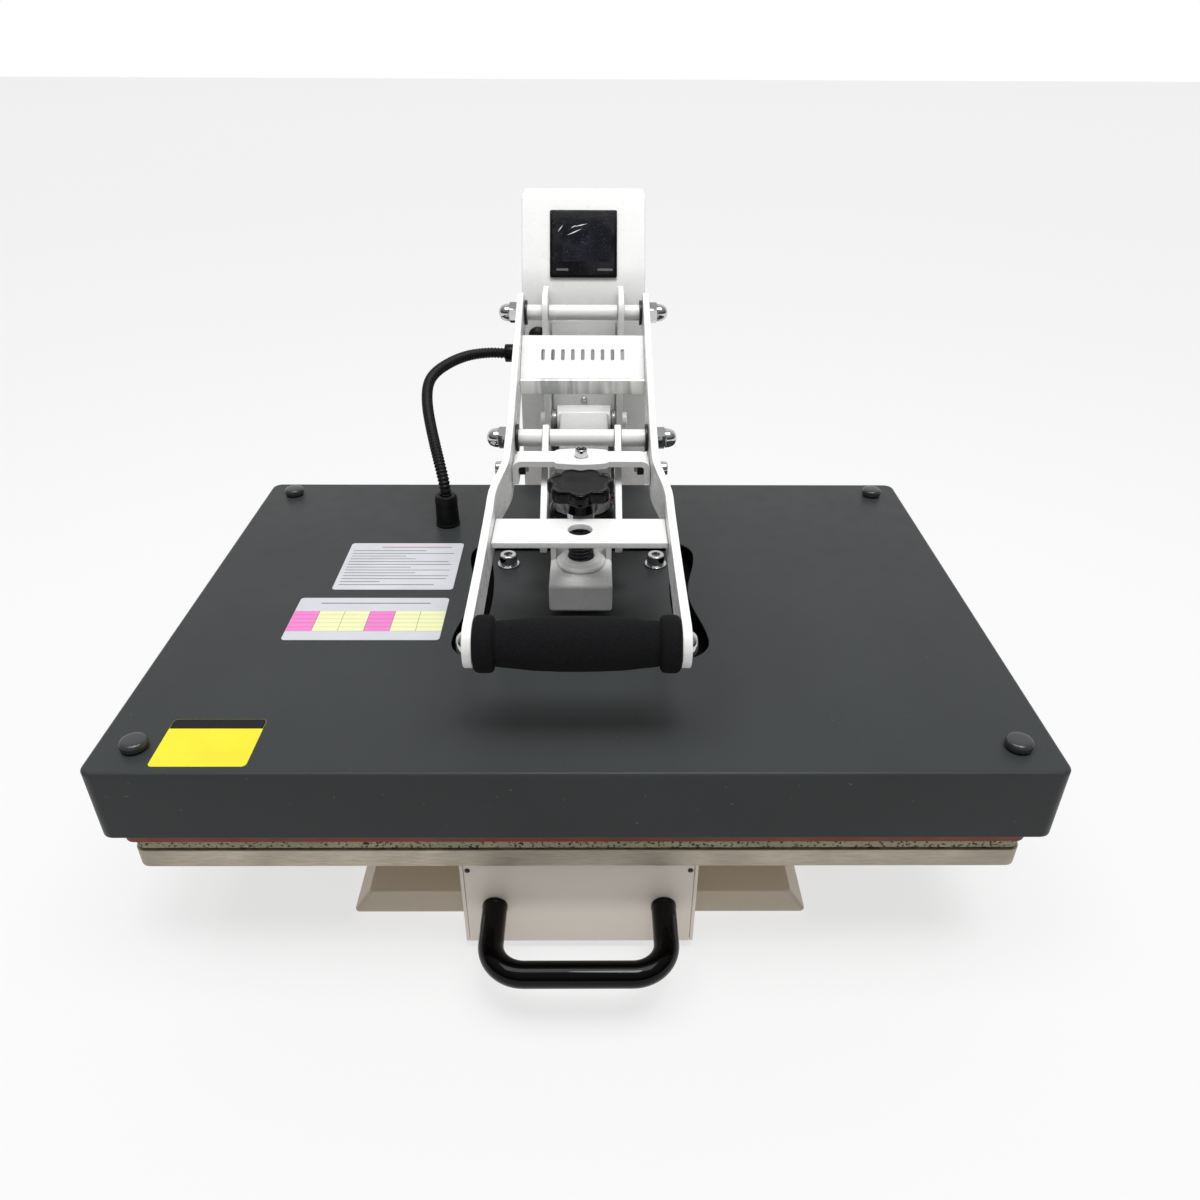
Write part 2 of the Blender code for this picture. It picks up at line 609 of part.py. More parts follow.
def butterfly(waist, lobe_x, lobe_s, lobe_r, end):
    """An outline with four round lobes, pinched at the sides and bowed at the ends.

    waist is the half width at the middle, end the half length on the centre line.
    """
    quarter = []
    # concave side from the middle to the lobe, a round lobe, then a shallow end
    side_start, side_end = Vector((waist, 0.0)), Vector((lobe_x, lobe_s - 8.0))
    for i in range(6):
        t = i / 6
        rise = t * t * (3 - 2 * t)
        quarter.append((side_start.x + (side_end.x - side_start.x) * rise, side_end.y * t))
    quarter += arc((lobe_x - lobe_r, lobe_s - 8.0), lobe_r, 0, 62, 5)
    corner = quarter[-1]
    for i in range(1, 6):
        t = i / 6
        rise = t * t * (3 - 2 * t)
        quarter.append((corner[0] * (1 - t), corner[1] + (end - corner[1]) * rise))
    quarter.append((0.0, end))
    outline = [(x, CENTRE_S + y) for x, y in quarter]
    outline += [(-x, CENTRE_S + y) for x, y in reversed(quarter[:-1])]
    outline += [(-x, CENTRE_S - y) for x, y in quarter[1:]]
    outline += [(x, CENTRE_S - y) for x, y in reversed(quarter[1:-1])]
    return outline


def cover():
    """The sheet metal lid over the heater, open below, with its shaped opening."""
    x, s, (floor, top), bend = COVER_X, COVER_S, COVER_Z, 4.0

    def ring(inset, z, radius):
        points = rounded((inset - x, x - inset), (s[0] + inset, s[1] - inset), radius, 4)
        return [(a, b, z) for a, b in points]

    wall = COVER_WALL
    rings = [ring(wall + 1.5, top - wall, 6.0), ring(wall, top - wall - 1.5, 7.5), ring(wall, floor, 7.5),
             ring(0, floor, 9.5), ring(0, top - bend, 9.5), ring(bend * 0.29, top - bend * 0.29, 8.3),
             ring(bend, top, 5.5)]
    lid = loft("cover", rings, GREY, 35)
    opening = prism("cutter", "Z", butterfly(87.0, 97.0, 75.0, 24.0, 97.0), top - 12, top + 5, BLACK)
    cut(lid, opening)


def cap_knobs():
    for sign, side in ((-1, "left"), (1, "right")):
        for s, end in ((25.0, "front"), (402.0, "rear")):
            profile = [(7.6, 186.3), (7.6, 187.3), (8.8, 187.7), (8.8, 191.8), (7.4, 193.4)]
            turned(f"cap_{end}_{side}", "Z", (sign * 284.0, s), profile, GREY, 20)


def heater():
    x, s = PLATEN_X, PLATEN_S
    outline = rounded((-x, x), s, 8.0, 3)
    prism("heat_platen", "Z", outline, HEATER_Z[0], HEATER_Z[1], COATING)
    rows = [50.0, 110.0, 214.0, 318.0, 378.0]
    path = [(-250.0, rows[0])]
    for i, (low, high) in enumerate(zip(rows, rows[1:])):
        sign = 1 if i % 2 == 0 else -1
        radius = (high - low) / 2
        bend = arc((0.0, (low + high) / 2), radius, -90, 90, 6)
        path += [(sign * (220.0 + px), ps) for px, ps in bend]
    path.append((250.0, rows[-1]))
    swept_tube("heating_element", path, HEATER_Z[1] + GAP + 4.0, 4.0, 6, ZINC)
    slab = prism("insulation", "Z", rounded((-286.0, 286.0), (28.0, 400.0), 6.0, 3), 143.0, 166.0, WOOL)
    for bolt in BOLTS + [(0.0, CENTRE_S)]:
        cut(slab, hole("Z", bolt, 9.0, 140.0, 170.0, 12))


def mounting_plate():
    """The steel plate in the opening, on four posts that stand on the heater."""
    floor, top, waist, end = 174.0, 180.0, 73.0, 85.0
    quarter = []
    for i in range(7):
        t = i / 6
        quarter.append((waist + 9.0 * t * t, CENTRE_S + (end - 6.0) * t))
    quarter += arc((waist + 3.0, CENTRE_S + end - 6.0), 6.0, 20, 90, 3)
    outline = quarter + [(-x, s) for x, s in reversed(quarter)]
    outline += [(-x, 2 * CENTRE_S - s) for x, s in quarter[1:]]
    outline += [(x, 2 * CENTRE_S - s) for x, s in reversed(quarter[1:])]
    plate = prism("mounting_plate", "Z", outline, floor, top, GREY)
    for bolt in BOLTS:
        post = [(7.0, HEATER_Z[1] + GAP), (7.0, top - 1.0), (9.5, top - 1.0), (9.5, top + 1.6)]
        post += [(7.6, top + 1.6), (7.6, top + 9.5), (6.8, top + 10.2)]
        fuse(plate, turned("post", "Z", bolt, post, ZINC, 12))
    cut(plate, hole("Z", (0.0, CENTRE_S), 7.0, floor - 5, top + 5, 24))


def guide_tail():
    """A rail under the arm that carries the two guide pins, bolted to the cover."""
    rail = box("guide_rail", (-17.0, 17.0), (308.0, 406.0), (COVER_Z[1] + GAP, COVER_Z[1] + 1.3), WHITE)
    for s in GUIDE_S:
        pin = [(4.0, COVER_Z[1] + 0.8), (4.0, 200.0), (3.2, 201.0)]
        fuse(rail, turned("pin", "Z", (0.0, s), pin, ZINC, 16))


# ---------------------------------------------------------------- drawer


def drawer():
    x, s, z = PANEL_X, PANEL_S, PANEL_Z
    plan = [(-x, s), (x, s), (x, 440.0), (x - SHEET, 440.0), (x - SHEET, s + SHEET), (SHEET - x, s + SHEET),
            (SHEET - x, 440.0), (-x, 440.0)]
    frame = prism("drawer_frame", "Z", plan, 24.0, z[1], WHITE)
    fuse(frame, box("apron", (-x, x), (s, s + SHEET), (z[0], 40.0), WHITE))
    outline = rounded((-PLATEN_X, PLATEN_X), PLATEN_S, 8.0, 4)
    prism("lower_plate", "Z", outline, PLATE_Z[0], PLATE_Z[1], ALUMINIUM)
    inset = rounded((1 - PLATEN_X, PLATEN_X - 1), (PLATEN_S[0] + 1, PLATEN_S[1] - 1), 7.0, 4)
    prism("foam_pad", "Z", inset, PAD_Z[0], PAD_Z[1], PAD)
    bend = 24.0
    corner = arc((PULL_X - bend, PULL_BAR_S + bend), bend, 0, -90, 7)
    right = [(PULL_X, PANEL_S - GAP)] + corner
    path = right + [(-a, b) for a, b in reversed(right)]
    swept_tube("pull_handle", path, PULL_Z, PULL_R, 12, BLACK)


# ---------------------------------------------------------------- heater cable


def smooth_path(points, spacing):
    """Points on a Catmull-Rom curve through the route, about as far apart as spacing."""
    made = []
    knots = [Vector(p) for p in points]
    for i in range(len(knots) - 1):
        before = knots[i - 1] if i else knots[0] * 2 - knots[1]
        after = knots[i + 2] if i + 2 < len(knots) else knots[-1] * 2 - knots[-2]
        a, b = knots[i], knots[i + 1]
        steps = max(1, round((b - a).length / spacing))
        for step in range(steps):
            t = step / steps
            made.append(0.5 * (2 * a + (b - before) * t + (2 * before - 5 * a + 4 * b - after) * t * t
                               + (3 * a - before - 3 * b + after) * t ** 3))
    return made + [knots[-1]]


def heater_cable():
    wall = -COLUMN_X
    gland = [(6.6, wall + 4.0), (6.6, wall - 0.2), (9.0, wall - GAP), (9.0, -75.5), (8.4, -77.0)]
    turned("conduit_gland", "X", GLAND, gland, BLACK, 24)
    boot = [(11.0, COVER_Z[1] + GAP), (10.8, 190.0), (10.2, 212.0), (9.4, BOOT_TOP)]
    turned("cable_boot", "Z", BOOT, boot, RUBBER, 24)
    curve = bpy.data.curves.new("conduit", "CURVE")
    curve.dimensions = "3D"
    curve.bevel_depth = CONDUIT_R * MM
    curve.bevel_resolution = 3
    curve.use_fill_caps = True
    points = smooth_path(ROUTE, 14.0)
    spline = curve.splines.new("POLY")
    spline.points.add(len(points) - 1)
    for target, point in zip(spline.points, points):
        target.co = (point.x * MM, (point.y - MID_S) * MM, point.z * MM, 1.0)
    curve.materials.append(RUBBER)
    bpy.context.scene.collection.objects.link(bpy.data.objects.new("conduit", curve))


base_plate()
feet()
drawer_support()
slides()
uprights()
column_shell()
display_unit()
rear_cover()
pivots()
handle_plates()
cross_panel()
cross_bar()
latch_bracket()
armature()
grip()
links()
arm_beam()
springs()
magnet()
pressure_screw()
cover()
cap_knobs()
heater()
mounting_plate()
guide_tail()
drawer()
heater_cable()
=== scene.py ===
"""Looks of the clamshell heat press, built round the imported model.

Sizes are millimetres in the press's own frame: x to its right, y to its back, z up, with
the origin on the table under its middle. Each piece is scaled to metres as it is made.
"""

import json
import math

import bmesh
import bpy
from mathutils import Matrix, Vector, noise


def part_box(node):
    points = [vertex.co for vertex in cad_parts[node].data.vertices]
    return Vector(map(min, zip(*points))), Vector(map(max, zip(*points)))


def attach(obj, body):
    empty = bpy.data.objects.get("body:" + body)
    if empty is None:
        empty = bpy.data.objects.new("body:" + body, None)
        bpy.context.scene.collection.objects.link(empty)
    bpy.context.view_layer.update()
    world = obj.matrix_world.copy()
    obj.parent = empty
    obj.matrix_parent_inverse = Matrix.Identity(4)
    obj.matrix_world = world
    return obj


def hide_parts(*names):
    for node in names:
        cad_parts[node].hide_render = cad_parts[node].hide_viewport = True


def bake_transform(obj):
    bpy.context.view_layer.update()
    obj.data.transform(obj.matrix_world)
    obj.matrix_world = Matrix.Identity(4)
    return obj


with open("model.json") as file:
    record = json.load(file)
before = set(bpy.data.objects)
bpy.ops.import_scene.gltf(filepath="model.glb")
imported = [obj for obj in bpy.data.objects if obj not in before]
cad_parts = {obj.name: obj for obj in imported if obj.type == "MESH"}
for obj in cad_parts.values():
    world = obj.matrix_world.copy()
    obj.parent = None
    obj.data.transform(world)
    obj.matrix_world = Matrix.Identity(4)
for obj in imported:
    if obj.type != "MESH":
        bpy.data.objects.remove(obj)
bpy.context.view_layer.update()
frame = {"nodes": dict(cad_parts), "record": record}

MM = 0.001
NODES = frame["nodes"]
JOINTS = {joint["name"]: joint for joint in frame["record"]["behaviour"]["joints"]}
SIDES = ((-1, "left"), (1, "right"))
# For each axis: which two coordinates lie across it, and which one runs along it
PLACES = {"X": (1, 2, 0), "Y": (0, 2, 1), "Z": (0, 1, 2)}


# ---- places, from the frame


def span(node):
    """A node's extent in millimetres, as (x, y, z) pairs."""
    low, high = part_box(node)
    return [(a / MM, b / MM) for a, b in zip(low, high)]


def middle(pair):
    return (pair[0] + pair[1]) / 2


def pivot(joint):
    """A joint's place in millimetres, as (y, z)."""
    _, y, z = JOINTS[joint]["pos_m"]
    return (y / MM, z / MM)


HANDLE_PIVOT = pivot("handle_lift")
LINK_PIVOT = pivot("link_swing")
ARM_PIVOT = pivot("arm_lift")
COVER_TOP = span("cover")[2][1]
CENTRE_Y = sum(span("pressure_screw")[1]) / 2
LINK = span("link_right")
LINK_X = (27.5, 33.0)
LINK_END_R = 9.0
LINK_TOP_R = 11.0
ARM_END = (LINK[1][0] + LINK_END_R, LINK[2][0] + LINK_END_R)
MAGNET_Y = middle(span("electromagnet")[1])
STRAP_TOP = span("latch_bracket")[2][1]
BRACKET_BOLT = (MAGNET_Y, 273.5)
GRIP = tuple(sum(pair) / 2 for pair in span("grip_foam")[1:])
# The handle plates' inner faces at the back, and how far and where they step outwards
INNER_X = 56.0
PLATE_THICK = 6.0
SPREAD = 8.0
STEP_Y = (-17.0, -72.0)
# The tilted control face, from its foot to its crown as (y, z), and the display's middle up it
COLUMN = span("column_shell")
FACE_LOW = (COLUMN[1][0], 363.0)
FACE_HIGH = (266.0, COLUMN[2][1])
DISPLAY_AT = 42.6


# ---- materials


class Look:
    """A Principled material being put together from noise in the object's own space."""

    def __init__(self, name, roughness=0.5, metallic=0.0, specular=0.5):
        self.material = bpy.data.materials.new(name)
        self.material.use_nodes = True
        self.tree = self.material.node_tree
        self.shader = self.tree.nodes["Principled BSDF"]
        self.set("Roughness", roughness)
        self.set("Metallic", metallic)
        self.set("Specular IOR Level", specular)
        self.place = self.add("ShaderNodeTexCoord").outputs["Object"]

    def set(self, socket, value):
        self.shader.inputs[socket].default_value = value

    def add(self, kind, **settings):
        node = self.tree.nodes.new(kind)
        for key, value in settings.items():
            setattr(node, key, value)
        return node

    def join(self, source, target):
        self.tree.links.new(source, target)

    def noise(self, scale, detail=4.0, stretch=None, distortion=0.0):
        node = self.add("ShaderNodeTexNoise")
        node.inputs["Scale"].default_value = scale
        node.inputs["Detail"].default_value = detail
        node.inputs["Distortion"].default_value = distortion
        place = self.place
        if stretch:
            mapping = self.add("ShaderNodeMapping")
            mapping.inputs["Scale"].default_value = stretch
            self.join(place, mapping.inputs["Vector"])
            place = mapping.outputs["Vector"]
        self.join(place, node.inputs["Vector"])
        return node.outputs["Fac"]

    def span(self, value, low, high, start=0.0, end=1.0):
        """A value rescaled from low..high to start..end, held at the ends."""
        node = self.add("ShaderNodeMapRange")
        for key, number in (("From Min", low), ("From Max", high), ("To Min", start), ("To Max", end)):
            node.inputs[key].default_value = number
        self.join(value, node.inputs["Value"])
        return node.outputs["Result"]

    def mix(self, factor, first, second):
        node = self.add("ShaderNodeMix", data_type="RGBA")
        sockets = [socket for socket in node.inputs if socket.enabled]
        for socket, value in zip(sockets, (factor, first, second)):
            if isinstance(value, tuple):
                socket.default_value = (*value, 1.0)
            else:
                self.join(value, socket)
        return next(socket for socket in node.outputs if socket.enabled)

    def colour(self, value):
        if isinstance(value, tuple):
            self.set("Base Color", (*value, 1.0))
        else:
            self.join(value, self.shader.inputs["Base Color"])

    def bump(self, height, distance, strength=1.0, under=None):
        node = self.add("ShaderNodeBump")
        node.inputs["Strength"].default_value = strength
        node.inputs["Distance"].default_value = distance
        self.join(height, node.inputs["Height"])
        if under:
            self.join(under, node.inputs["Normal"])
        self.join(node.outputs["Normal"], self.shader.inputs["Normal"])
        return node.outputs["Normal"]


def shade(colour, factor):
    return tuple(channel * factor for channel in colour)


def surface(name, roughness, base, flecks, gloss, bumps, metallic=0.0, specular=0.5, coat=None):
    """A material from layers of noise.

    Each fleck is (noise, low, high, most, colour): the colour is laid over those before it,
    none of it where the noise is under low and most of it above high. Gloss is (noise, low,
    high, smooth, rough). Each bump is (noise, distance, strength), coarsest first.
    """
    look = Look(name, roughness, metallic, specular)
    colour = base
    for noise_values, low, high, most, over in flecks:
        colour = look.mix(look.span(look.noise(*noise_values), low, high, 0.0, most), colour, over)
    look.colour(colour)
    if gloss:
        look.join(look.span(look.noise(*gloss[0]), *gloss[1:]), look.shader.inputs["Roughness"])
    under = None
    for noise_values, distance, strength in bumps:
        under = look.bump(look.noise(*noise_values), distance, strength, under)
    if coat:
        look.set("Coat Weight", coat[0])
        look.set("Coat Roughness", coat[1])
    return look.material


def powder_coat(name, colour, roughness, peel=0.00003, grime=0.96, specular=0.5, dust=0.0):
    """Sprayed powder paint: orange peel, a slow drift of tone, a few rubbed places and dust."""
    flecks = (((9.0, 3.0), 0.35, 0.65, 1.0, colour),
              ((240.0, 3.0, (1.0, 0.12, 1.0)), 0.66, 0.72, 0.35, shade(colour, grime * 0.9)),
              ((420.0, 0.0), 0.885, 0.895, dust, (0.5, 0.5, 0.5)))
    gloss = ((60.0, 5.0), 0.3, 0.7, roughness - 0.05, roughness + 0.07)
    bumps = (((520.0, 2.0), peel, 0.6), ((1700.0, 1.0), peel * 0.5, 0.5))
    return surface(name, roughness, shade(colour, grime), flecks, gloss, bumps, specular=specular)


def steel(name, colour, roughness):
    """Bare or plated metal with faint stains and finger marks in its gloss."""
    return surface(name, roughness, colour, (((70.0, 4.0), 0.35, 0.7, 1.0, shade(colour, 0.86)),),
                   ((110.0, 6.0), 0.3, 0.7, roughness, roughness + 0.06),
                   (((900.0, 2.0), 0.000008, 0.4),), 1.0)


def moulded(name, colour, roughness, pit=0.00002, scale=900.0, specular=0.5):
    """Moulded plastic or rubber with a fine texture and a little dust."""
    dusty = tuple(channel * 1.5 + 0.002 for channel in colour)
    return surface(name, roughness, colour, (((180.0, 6.0), 0.62, 0.75, 0.5, dusty),),
                   ((45.0, 4.0), 0.3, 0.7, roughness - 0.04, roughness + 0.08), (((scale, 3.0), pit, 0.6),),
                   specular=specular)


def printed_card(name, ground, roughness=0.35):
    """A plastic label with a slightly uneven print."""
    return surface(name, roughness, ground, (((30.0, 4.0), 0.35, 0.65, 1.0, shade(ground, 0.93)),),
                   None, (((400.0, 2.0), 0.00002, 0.4),), specular=0.15)


def speckled_foam():
    """Silicone sponge pad: greenish beige with dark and pale specks, and soft stains."""
    base = (0.36, 0.335, 0.225)
    flecks = (((14.0, 5.0), 0.36, 0.68, 1.0, shade(base, 0.80)),
              ((430.0, 2.0), 0.55, 0.62, 1.0, (0.030, 0.026, 0.016)),
              ((620.0, 2.0, (1.0, 1.0, 1.4)), 0.64, 0.70, 1.0, (0.55, 0.51, 0.40)))
    return surface("look_speckled_foam", 0.85, base, flecks, None,
                   (((800.0, 5.0), 0.0003, 0.8),), specular=0.3)


def grip_foam():
    """Closed-cell foam rubber with its fine open skin."""
    pores = (1300.0, 6.0)
    return surface("look_grip_foam", 0.85, (0.0025, 0.0025, 0.003),
                   ((pores, 0.35, 0.7, 1.0, (0.008, 0.0085, 0.0095)),), None,
                   (((260.0, 5.0), 0.0004, 0.55), (pores, 0.00025, 0.9)), specular=0.12)


def brushed_aluminium():
    """Machined plate edge, brushed along its length and a little dulled."""
    lines, patches = (1.0, 6.0, (90.0, 90.0, 1500.0)), (16.0, 5.0)
    warm, dull = (0.50, 0.44, 0.36), (0.36, 0.315, 0.255)
    flecks = ((patches, 0.35, 0.68, 1.0, dull), (lines, 0.35, 0.7, 0.7, shade(warm, 0.55)))
    return surface("look_brushed_aluminium", 0.4, warm, flecks, (patches, 0.3, 0.7, 0.34, 0.5),
                   ((lines, 0.00003, 0.6),), 0.85)


def release_coat():
    """Red-brown non-stick coating, browned by heat."""
    return surface("look_release_coat", 0.5, (0.22, 0.036, 0.018),
                   (((35.0, 5.0), 0.34, 0.70, 1.0, (0.15, 0.030, 0.016)),),
                   ((90.0, 4.0), 0.3, 0.7, 0.42, 0.6), (((1100.0, 3.0), 0.00003, 0.6),), specular=0.35)


def black_facing():
    """Black glass cloth, the facing of the insulation."""
    weave = (1.0, 4.0, (700.0, 900.0, 400.0), 0.5)
    return surface("look_black_facing", 0.95, (0.0015, 0.0015, 0.0015),
                   ((weave, 0.3, 0.7, 1.0, (0.006, 0.006, 0.006)),), None,
                   ((weave, 0.0004, 0.8),), specular=0.05)


def painted_reflection_steel():
    """Bare folded steel with pale blurred streaks in its colour: painted reflections of the light through the
    panel's slots above it.
    """
    flecks = (((1.0, 2.0, (75.0, 5.0, 9.0), 0.4), 0.40, 0.60, 1.0, (0.98, 0.98, 0.94)),
              ((1.0, 2.0, (210.0, 20.0, 60.0)), 0.62, 0.72, 0.5, (0.9, 0.9, 0.84)))
    return surface("look_steel_painted_reflections", 0.36, (0.50, 0.52, 0.51), flecks, None,
                   (((1.0, 3.0, (9.0, 200.0, 500.0)), 0.00002, 0.5),), 0.45)


def display_glass():
    """Black glass under a wrinkled protective film; its pale bluish blotches are painted reflection on the
    film and its bright specks are painted glints.
    """
    # Painted light: pale bluish blotches of reflection on the film, then tiny bright painted glints
    flecks = (((55.0, 3.0, (1.0, 1.4, 0.9), 0.9), 0.55, 0.80, 0.3, (0.014, 0.015, 0.020)),
              ((1500.0, 1.0), 0.72, 0.75, 1.0, (0.12, 0.12, 0.14)))
    return surface("look_display_glass", 0.05, (0.003, 0.003, 0.004), flecks,
                   ((40.0, 4.0), 0.35, 0.7, 0.06, 0.3), (((60.0, 3.0, (1.0, 1.4, 0.9), 1.2), 0.0004, 0.2),),
                   specular=0.12, coat=(0.05, 0.05))


def display_window():
    """The dark liquid-crystal window, a little bluer than the glass round it."""
    # Painted light: pale bluish blotches of reflection on the film over the window, then tiny bright painted
    # glints
    flecks = (((42.0, 4.0, (1.0, 1.2, 1.0), 0.8), 0.45, 0.68, 1.0, (0.012, 0.013, 0.019)),
              ((1300.0, 1.0), 0.70, 0.74, 1.0, (0.13, 0.13, 0.15)))
    return surface("look_screen", 0.08, (0.004, 0.005, 0.008), flecks, None,
                   (((70.0, 3.0, (1.0, 1.3, 0.9), 1.0), 0.0003, 0.18),), specular=0.12, coat=(0.05, 0.06))


def circuit_green():
    """Solder mask with its tracks."""
    look = Look("look_circuit_green", 0.35)
    tracks = look.add("ShaderNodeTexWave", wave_type="BANDS", bands_direction="X")
    tracks.inputs["Scale"].default_value = 160.0
    tracks.inputs["Distortion"].default_value = 3.0
    look.join(look.place, tracks.inputs["Vector"])
    lines = look.span(tracks.outputs["Fac"], 0.7, 0.8)
    look.colour(look.mix(lines, (0.012, 0.09, 0.04), (0.03, 0.20, 0.09)))
    look.bump(lines, 0.00004, 0.6)
    return look.material


GREY_PAINT = (0.038, 0.0415, 0.0425)

WHITE = powder_coat("look_white_coat", (0.80, 0.80, 0.79), 0.28)
CREAM = powder_coat("look_cream_coat", (0.86, 0.77, 0.64), 0.40)
# A darker, warmer copy of the white coat: painted shade for the drawer's front under the platen
WHITE_PAINTED_SHADE = powder_coat("look_white_painted_shade", (0.74, 0.67, 0.59), 0.36)
GREY = powder_coat("look_grey_coat", GREY_PAINT, 0.34, 0.00003, 0.92, 0.12, 0.12)
GREY_GLOSS = powder_coat("look_grey_gloss", GREY_PAINT, 0.14, 0.00001, 0.92, 0.4)
DARK_STEEL = powder_coat("look_black_steel", (0.012, 0.012, 0.013), 0.4)
GLOSS_BLACK = moulded("look_gloss_black", (0.001, 0.001, 0.0011), 0.03, 0.000002, 300.0, 0.16)
SATIN_BLACK = moulded("look_satin_black", (0.005, 0.005, 0.0052), 0.22, 0.00001, 900.0, 0.12)
RUBBER = moulded("look_rubber", (0.005, 0.005, 0.005), 0.45, 0.00004, 900.0, 0.2)
CHROME = steel("look_chrome", (0.64, 0.64, 0.645), 0.05)
ZINC = steel("look_zinc", (0.58, 0.585, 0.60), 0.28)
# Bare steel whose pale streaks are painted reflections
BARE = painted_reflection_steel()
BLACK_SCREW = steel("look_black_oxide", (0.055, 0.055, 0.06), 0.20)
ALUMINIUM = brushed_aluminium()
PAD = speckled_foam()
FOAM = grip_foam()
COATING = release_coat()
FACING = black_facing()
GLASS = display_glass()
SCREEN = display_window()
BOARD = circuit_green()
SILVER_CARD = printed_card("look_silver_card", (0.54, 0.55, 0.58))
PINK_CARD = printed_card("look_pink_card", (0.72, 0.20, 0.50))
LEMON_CARD = printed_card("look_lemon_card", (0.72, 0.74, 0.42))
YELLOW_CARD = printed_card("look_yellow_card", (0.74, 0.66, 0.035), 0.5)
INK = printed_card("look_ink", (0.007, 0.007, 0.008))
GREY_INK = printed_card("look_grey_ink", (0.05, 0.05, 0.058))
RED_INK = printed_card("look_red_ink", (0.40, 0.06, 0.07))
DIM_MARK = printed_card("look_dim_mark", (0.10, 0.10, 0.11))
# Near-white, for the painted glints on the display film
FILM_GLINT_WHITE = printed_card("look_film_painted_glint", (0.85, 0.85, 0.87))
WIRE = moulded("look_red_wire", (0.20, 0.006, 0.008), 0.4)


# ---- making meshes


def place_mesh(name, mesh, *looks):
    for look in looks:
        mesh.materials.append(look)
    piece = bpy.data.objects.new(name, mesh)
    bpy.context.scene.collection.objects.link(piece)
    return piece


def loft(name, rings, look, ends=True):
    """A skin through rings of equally many points, in millimetres, with its ends filled or joined."""
    mesh = bpy.data.meshes.new(name)
    made = bmesh.new()
    loops = [[made.verts.new(Vector(point) * MM) for point in ring] for ring in rings]
    pairs = list(zip(loops, loops[1:]))
    if not ends:
        pairs.append((loops[-1], loops[0]))
    for low, high in pairs:
        for i, vert in enumerate(low):
            j = (i + 1) % len(low)
            made.faces.new((vert, low[j], high[j], high[i]))
    if ends:
        made.faces.new(loops[0])
        made.faces.new(loops[-1])
    bmesh.ops.recalc_face_normals(made, faces=made.faces)
    made.to_mesh(mesh)
    made.free()
    mesh.shade_smooth()
    return place_mesh(name, mesh, look)


def along(axis, flat, height):
    """A point whose two flat coordinates lie across the axis, at a height along it."""
    point = [0.0, 0.0, 0.0]
    first, second, third = PLACES[axis]
    point[first], point[second], point[third] = flat[0], flat[1], height
    return tuple(point)


def prism(name, axis, outline, low, high, look):
    """An outline pushed along x, y or z. Outlines are (y, z), (x, z) or (x, y)."""
    return loft(name, [[along(axis, flat, height) for flat in outline] for height in (low, high)], look)


def box(name, x, y, z, look):
    return prism(name, "Z", [(x[0], y[0]), (x[1], y[0]), (x[1], y[1]), (x[0], y[1])], z[0], z[1], look)


def polar(centre, radius, angle):
    return (centre[0] + radius * math.cos(angle), centre[1] + radius * math.sin(angle))


def circle(centre, radius, sides=48, turn=0.0):
    return [polar(centre, radius, turn + math.tau * i / sides) for i in range(sides)]


def arc(centre, radius, start, end, steps):
    """Points from one angle to another, in degrees."""
    return [polar(centre, radius, math.radians(start + (end - start) * i / steps)) for i in range(steps + 1)]


def turned(name, axis, centre, profile, look, sides=48, ends=True):
    """A turned piece. The profile is (radius, height) from one end to the other."""
    rings = []
    for radius, height in profile:
        rings.append([along(axis, flat, height) for flat in circle(centre, radius, sides)])
    return loft(name, rings, look, ends)


def fluted(name, axis, centre, radius, sides, depth, raised, profile, look):
    """A turned piece with ridges where it is full size. The profile is (scale, height)."""
    rings = []
    for scale, height in profile:
        ring = []
        for i in range(sides):
            ridge = 1.0 + (depth if raised(i) else 0.0) * (scale == 1.0)
            ring.append(along(axis, circle(centre, radius * scale * ridge, sides)[i], height))
        rings.append(ring)
    return loft(name, rings, look)


def lifted(profile, start, way=1):
    """A profile whose heights are set off from a start, one way or the other."""
    return [(radius, start + way * height) for radius, height in profile]


def rounded(x, y, radius, steps=8):
    """A rectangle with round corners."""
    points = arc((x[1] - radius, y[0] + radius), radius, -90, 0, steps)
    points += arc((x[1] - radius, y[1] - radius), radius, 0, 90, steps)
    points += arc((x[0] + radius, y[1] - radius), radius, 90, 180, steps)
    return points + arc((x[0] + radius, y[0] + radius), radius, 180, 270, steps)


def inset(x, y, by, radius, steps, height=None):
    """A rounded rectangle drawn in from its sides, as a ring at a height."""
    outline = rounded((x[0] + by, x[1] - by), (y[0] + by, y[1] - by), radius, steps)
    return [(a, b, height) for a, b in outline]


def stadium(first, second, radius_first, radius_second, steps=16):
    """A bar with round ends about two points."""
    lean = math.degrees(math.atan2(second[1] - first[1], second[0] - first[0]))
    points = arc(first, radius_first, lean + 90, lean + 270, steps)
    return points + arc(second, radius_second, lean - 90, lean + 90, steps)


def four_way(quarter):
    """A quarter of an outline, mirrored to all four sides of the screw's axis."""
    outline = []
    back = quarter[::-1]
    for flip_x, flip_y, points in ((1, 1, quarter), (-1, 1, back), (-1, -1, quarter), (1, -1, back)):
        for x, y in points:
            spot = (flip_x * x, CENTRE_Y + flip_y * y)
            if spot not in outline:
                outline.append(spot)
    return outline


def settle(piece):
    """Apply a piece's modifiers."""
    bpy.context.view_layer.update()
    mesh = bpy.data.meshes.new_from_object(piece.evaluated_get(bpy.context.evaluated_depsgraph_get()))
    piece.modifiers.clear()
    piece.data = mesh
    return piece


def carve(piece, *cutters, operation="DIFFERENCE"):
    """Cut shapes out of a piece, and throw the cutters away."""
    for cutter in cutters:
        change = piece.modifiers.new("cut", "BOOLEAN")
        change.operation = operation
        change.solver = "EXACT"
        change.object = cutter
    settle(piece)
    for cutter in cutters:
        bpy.data.objects.remove(cutter, do_unlink=True)
    return piece


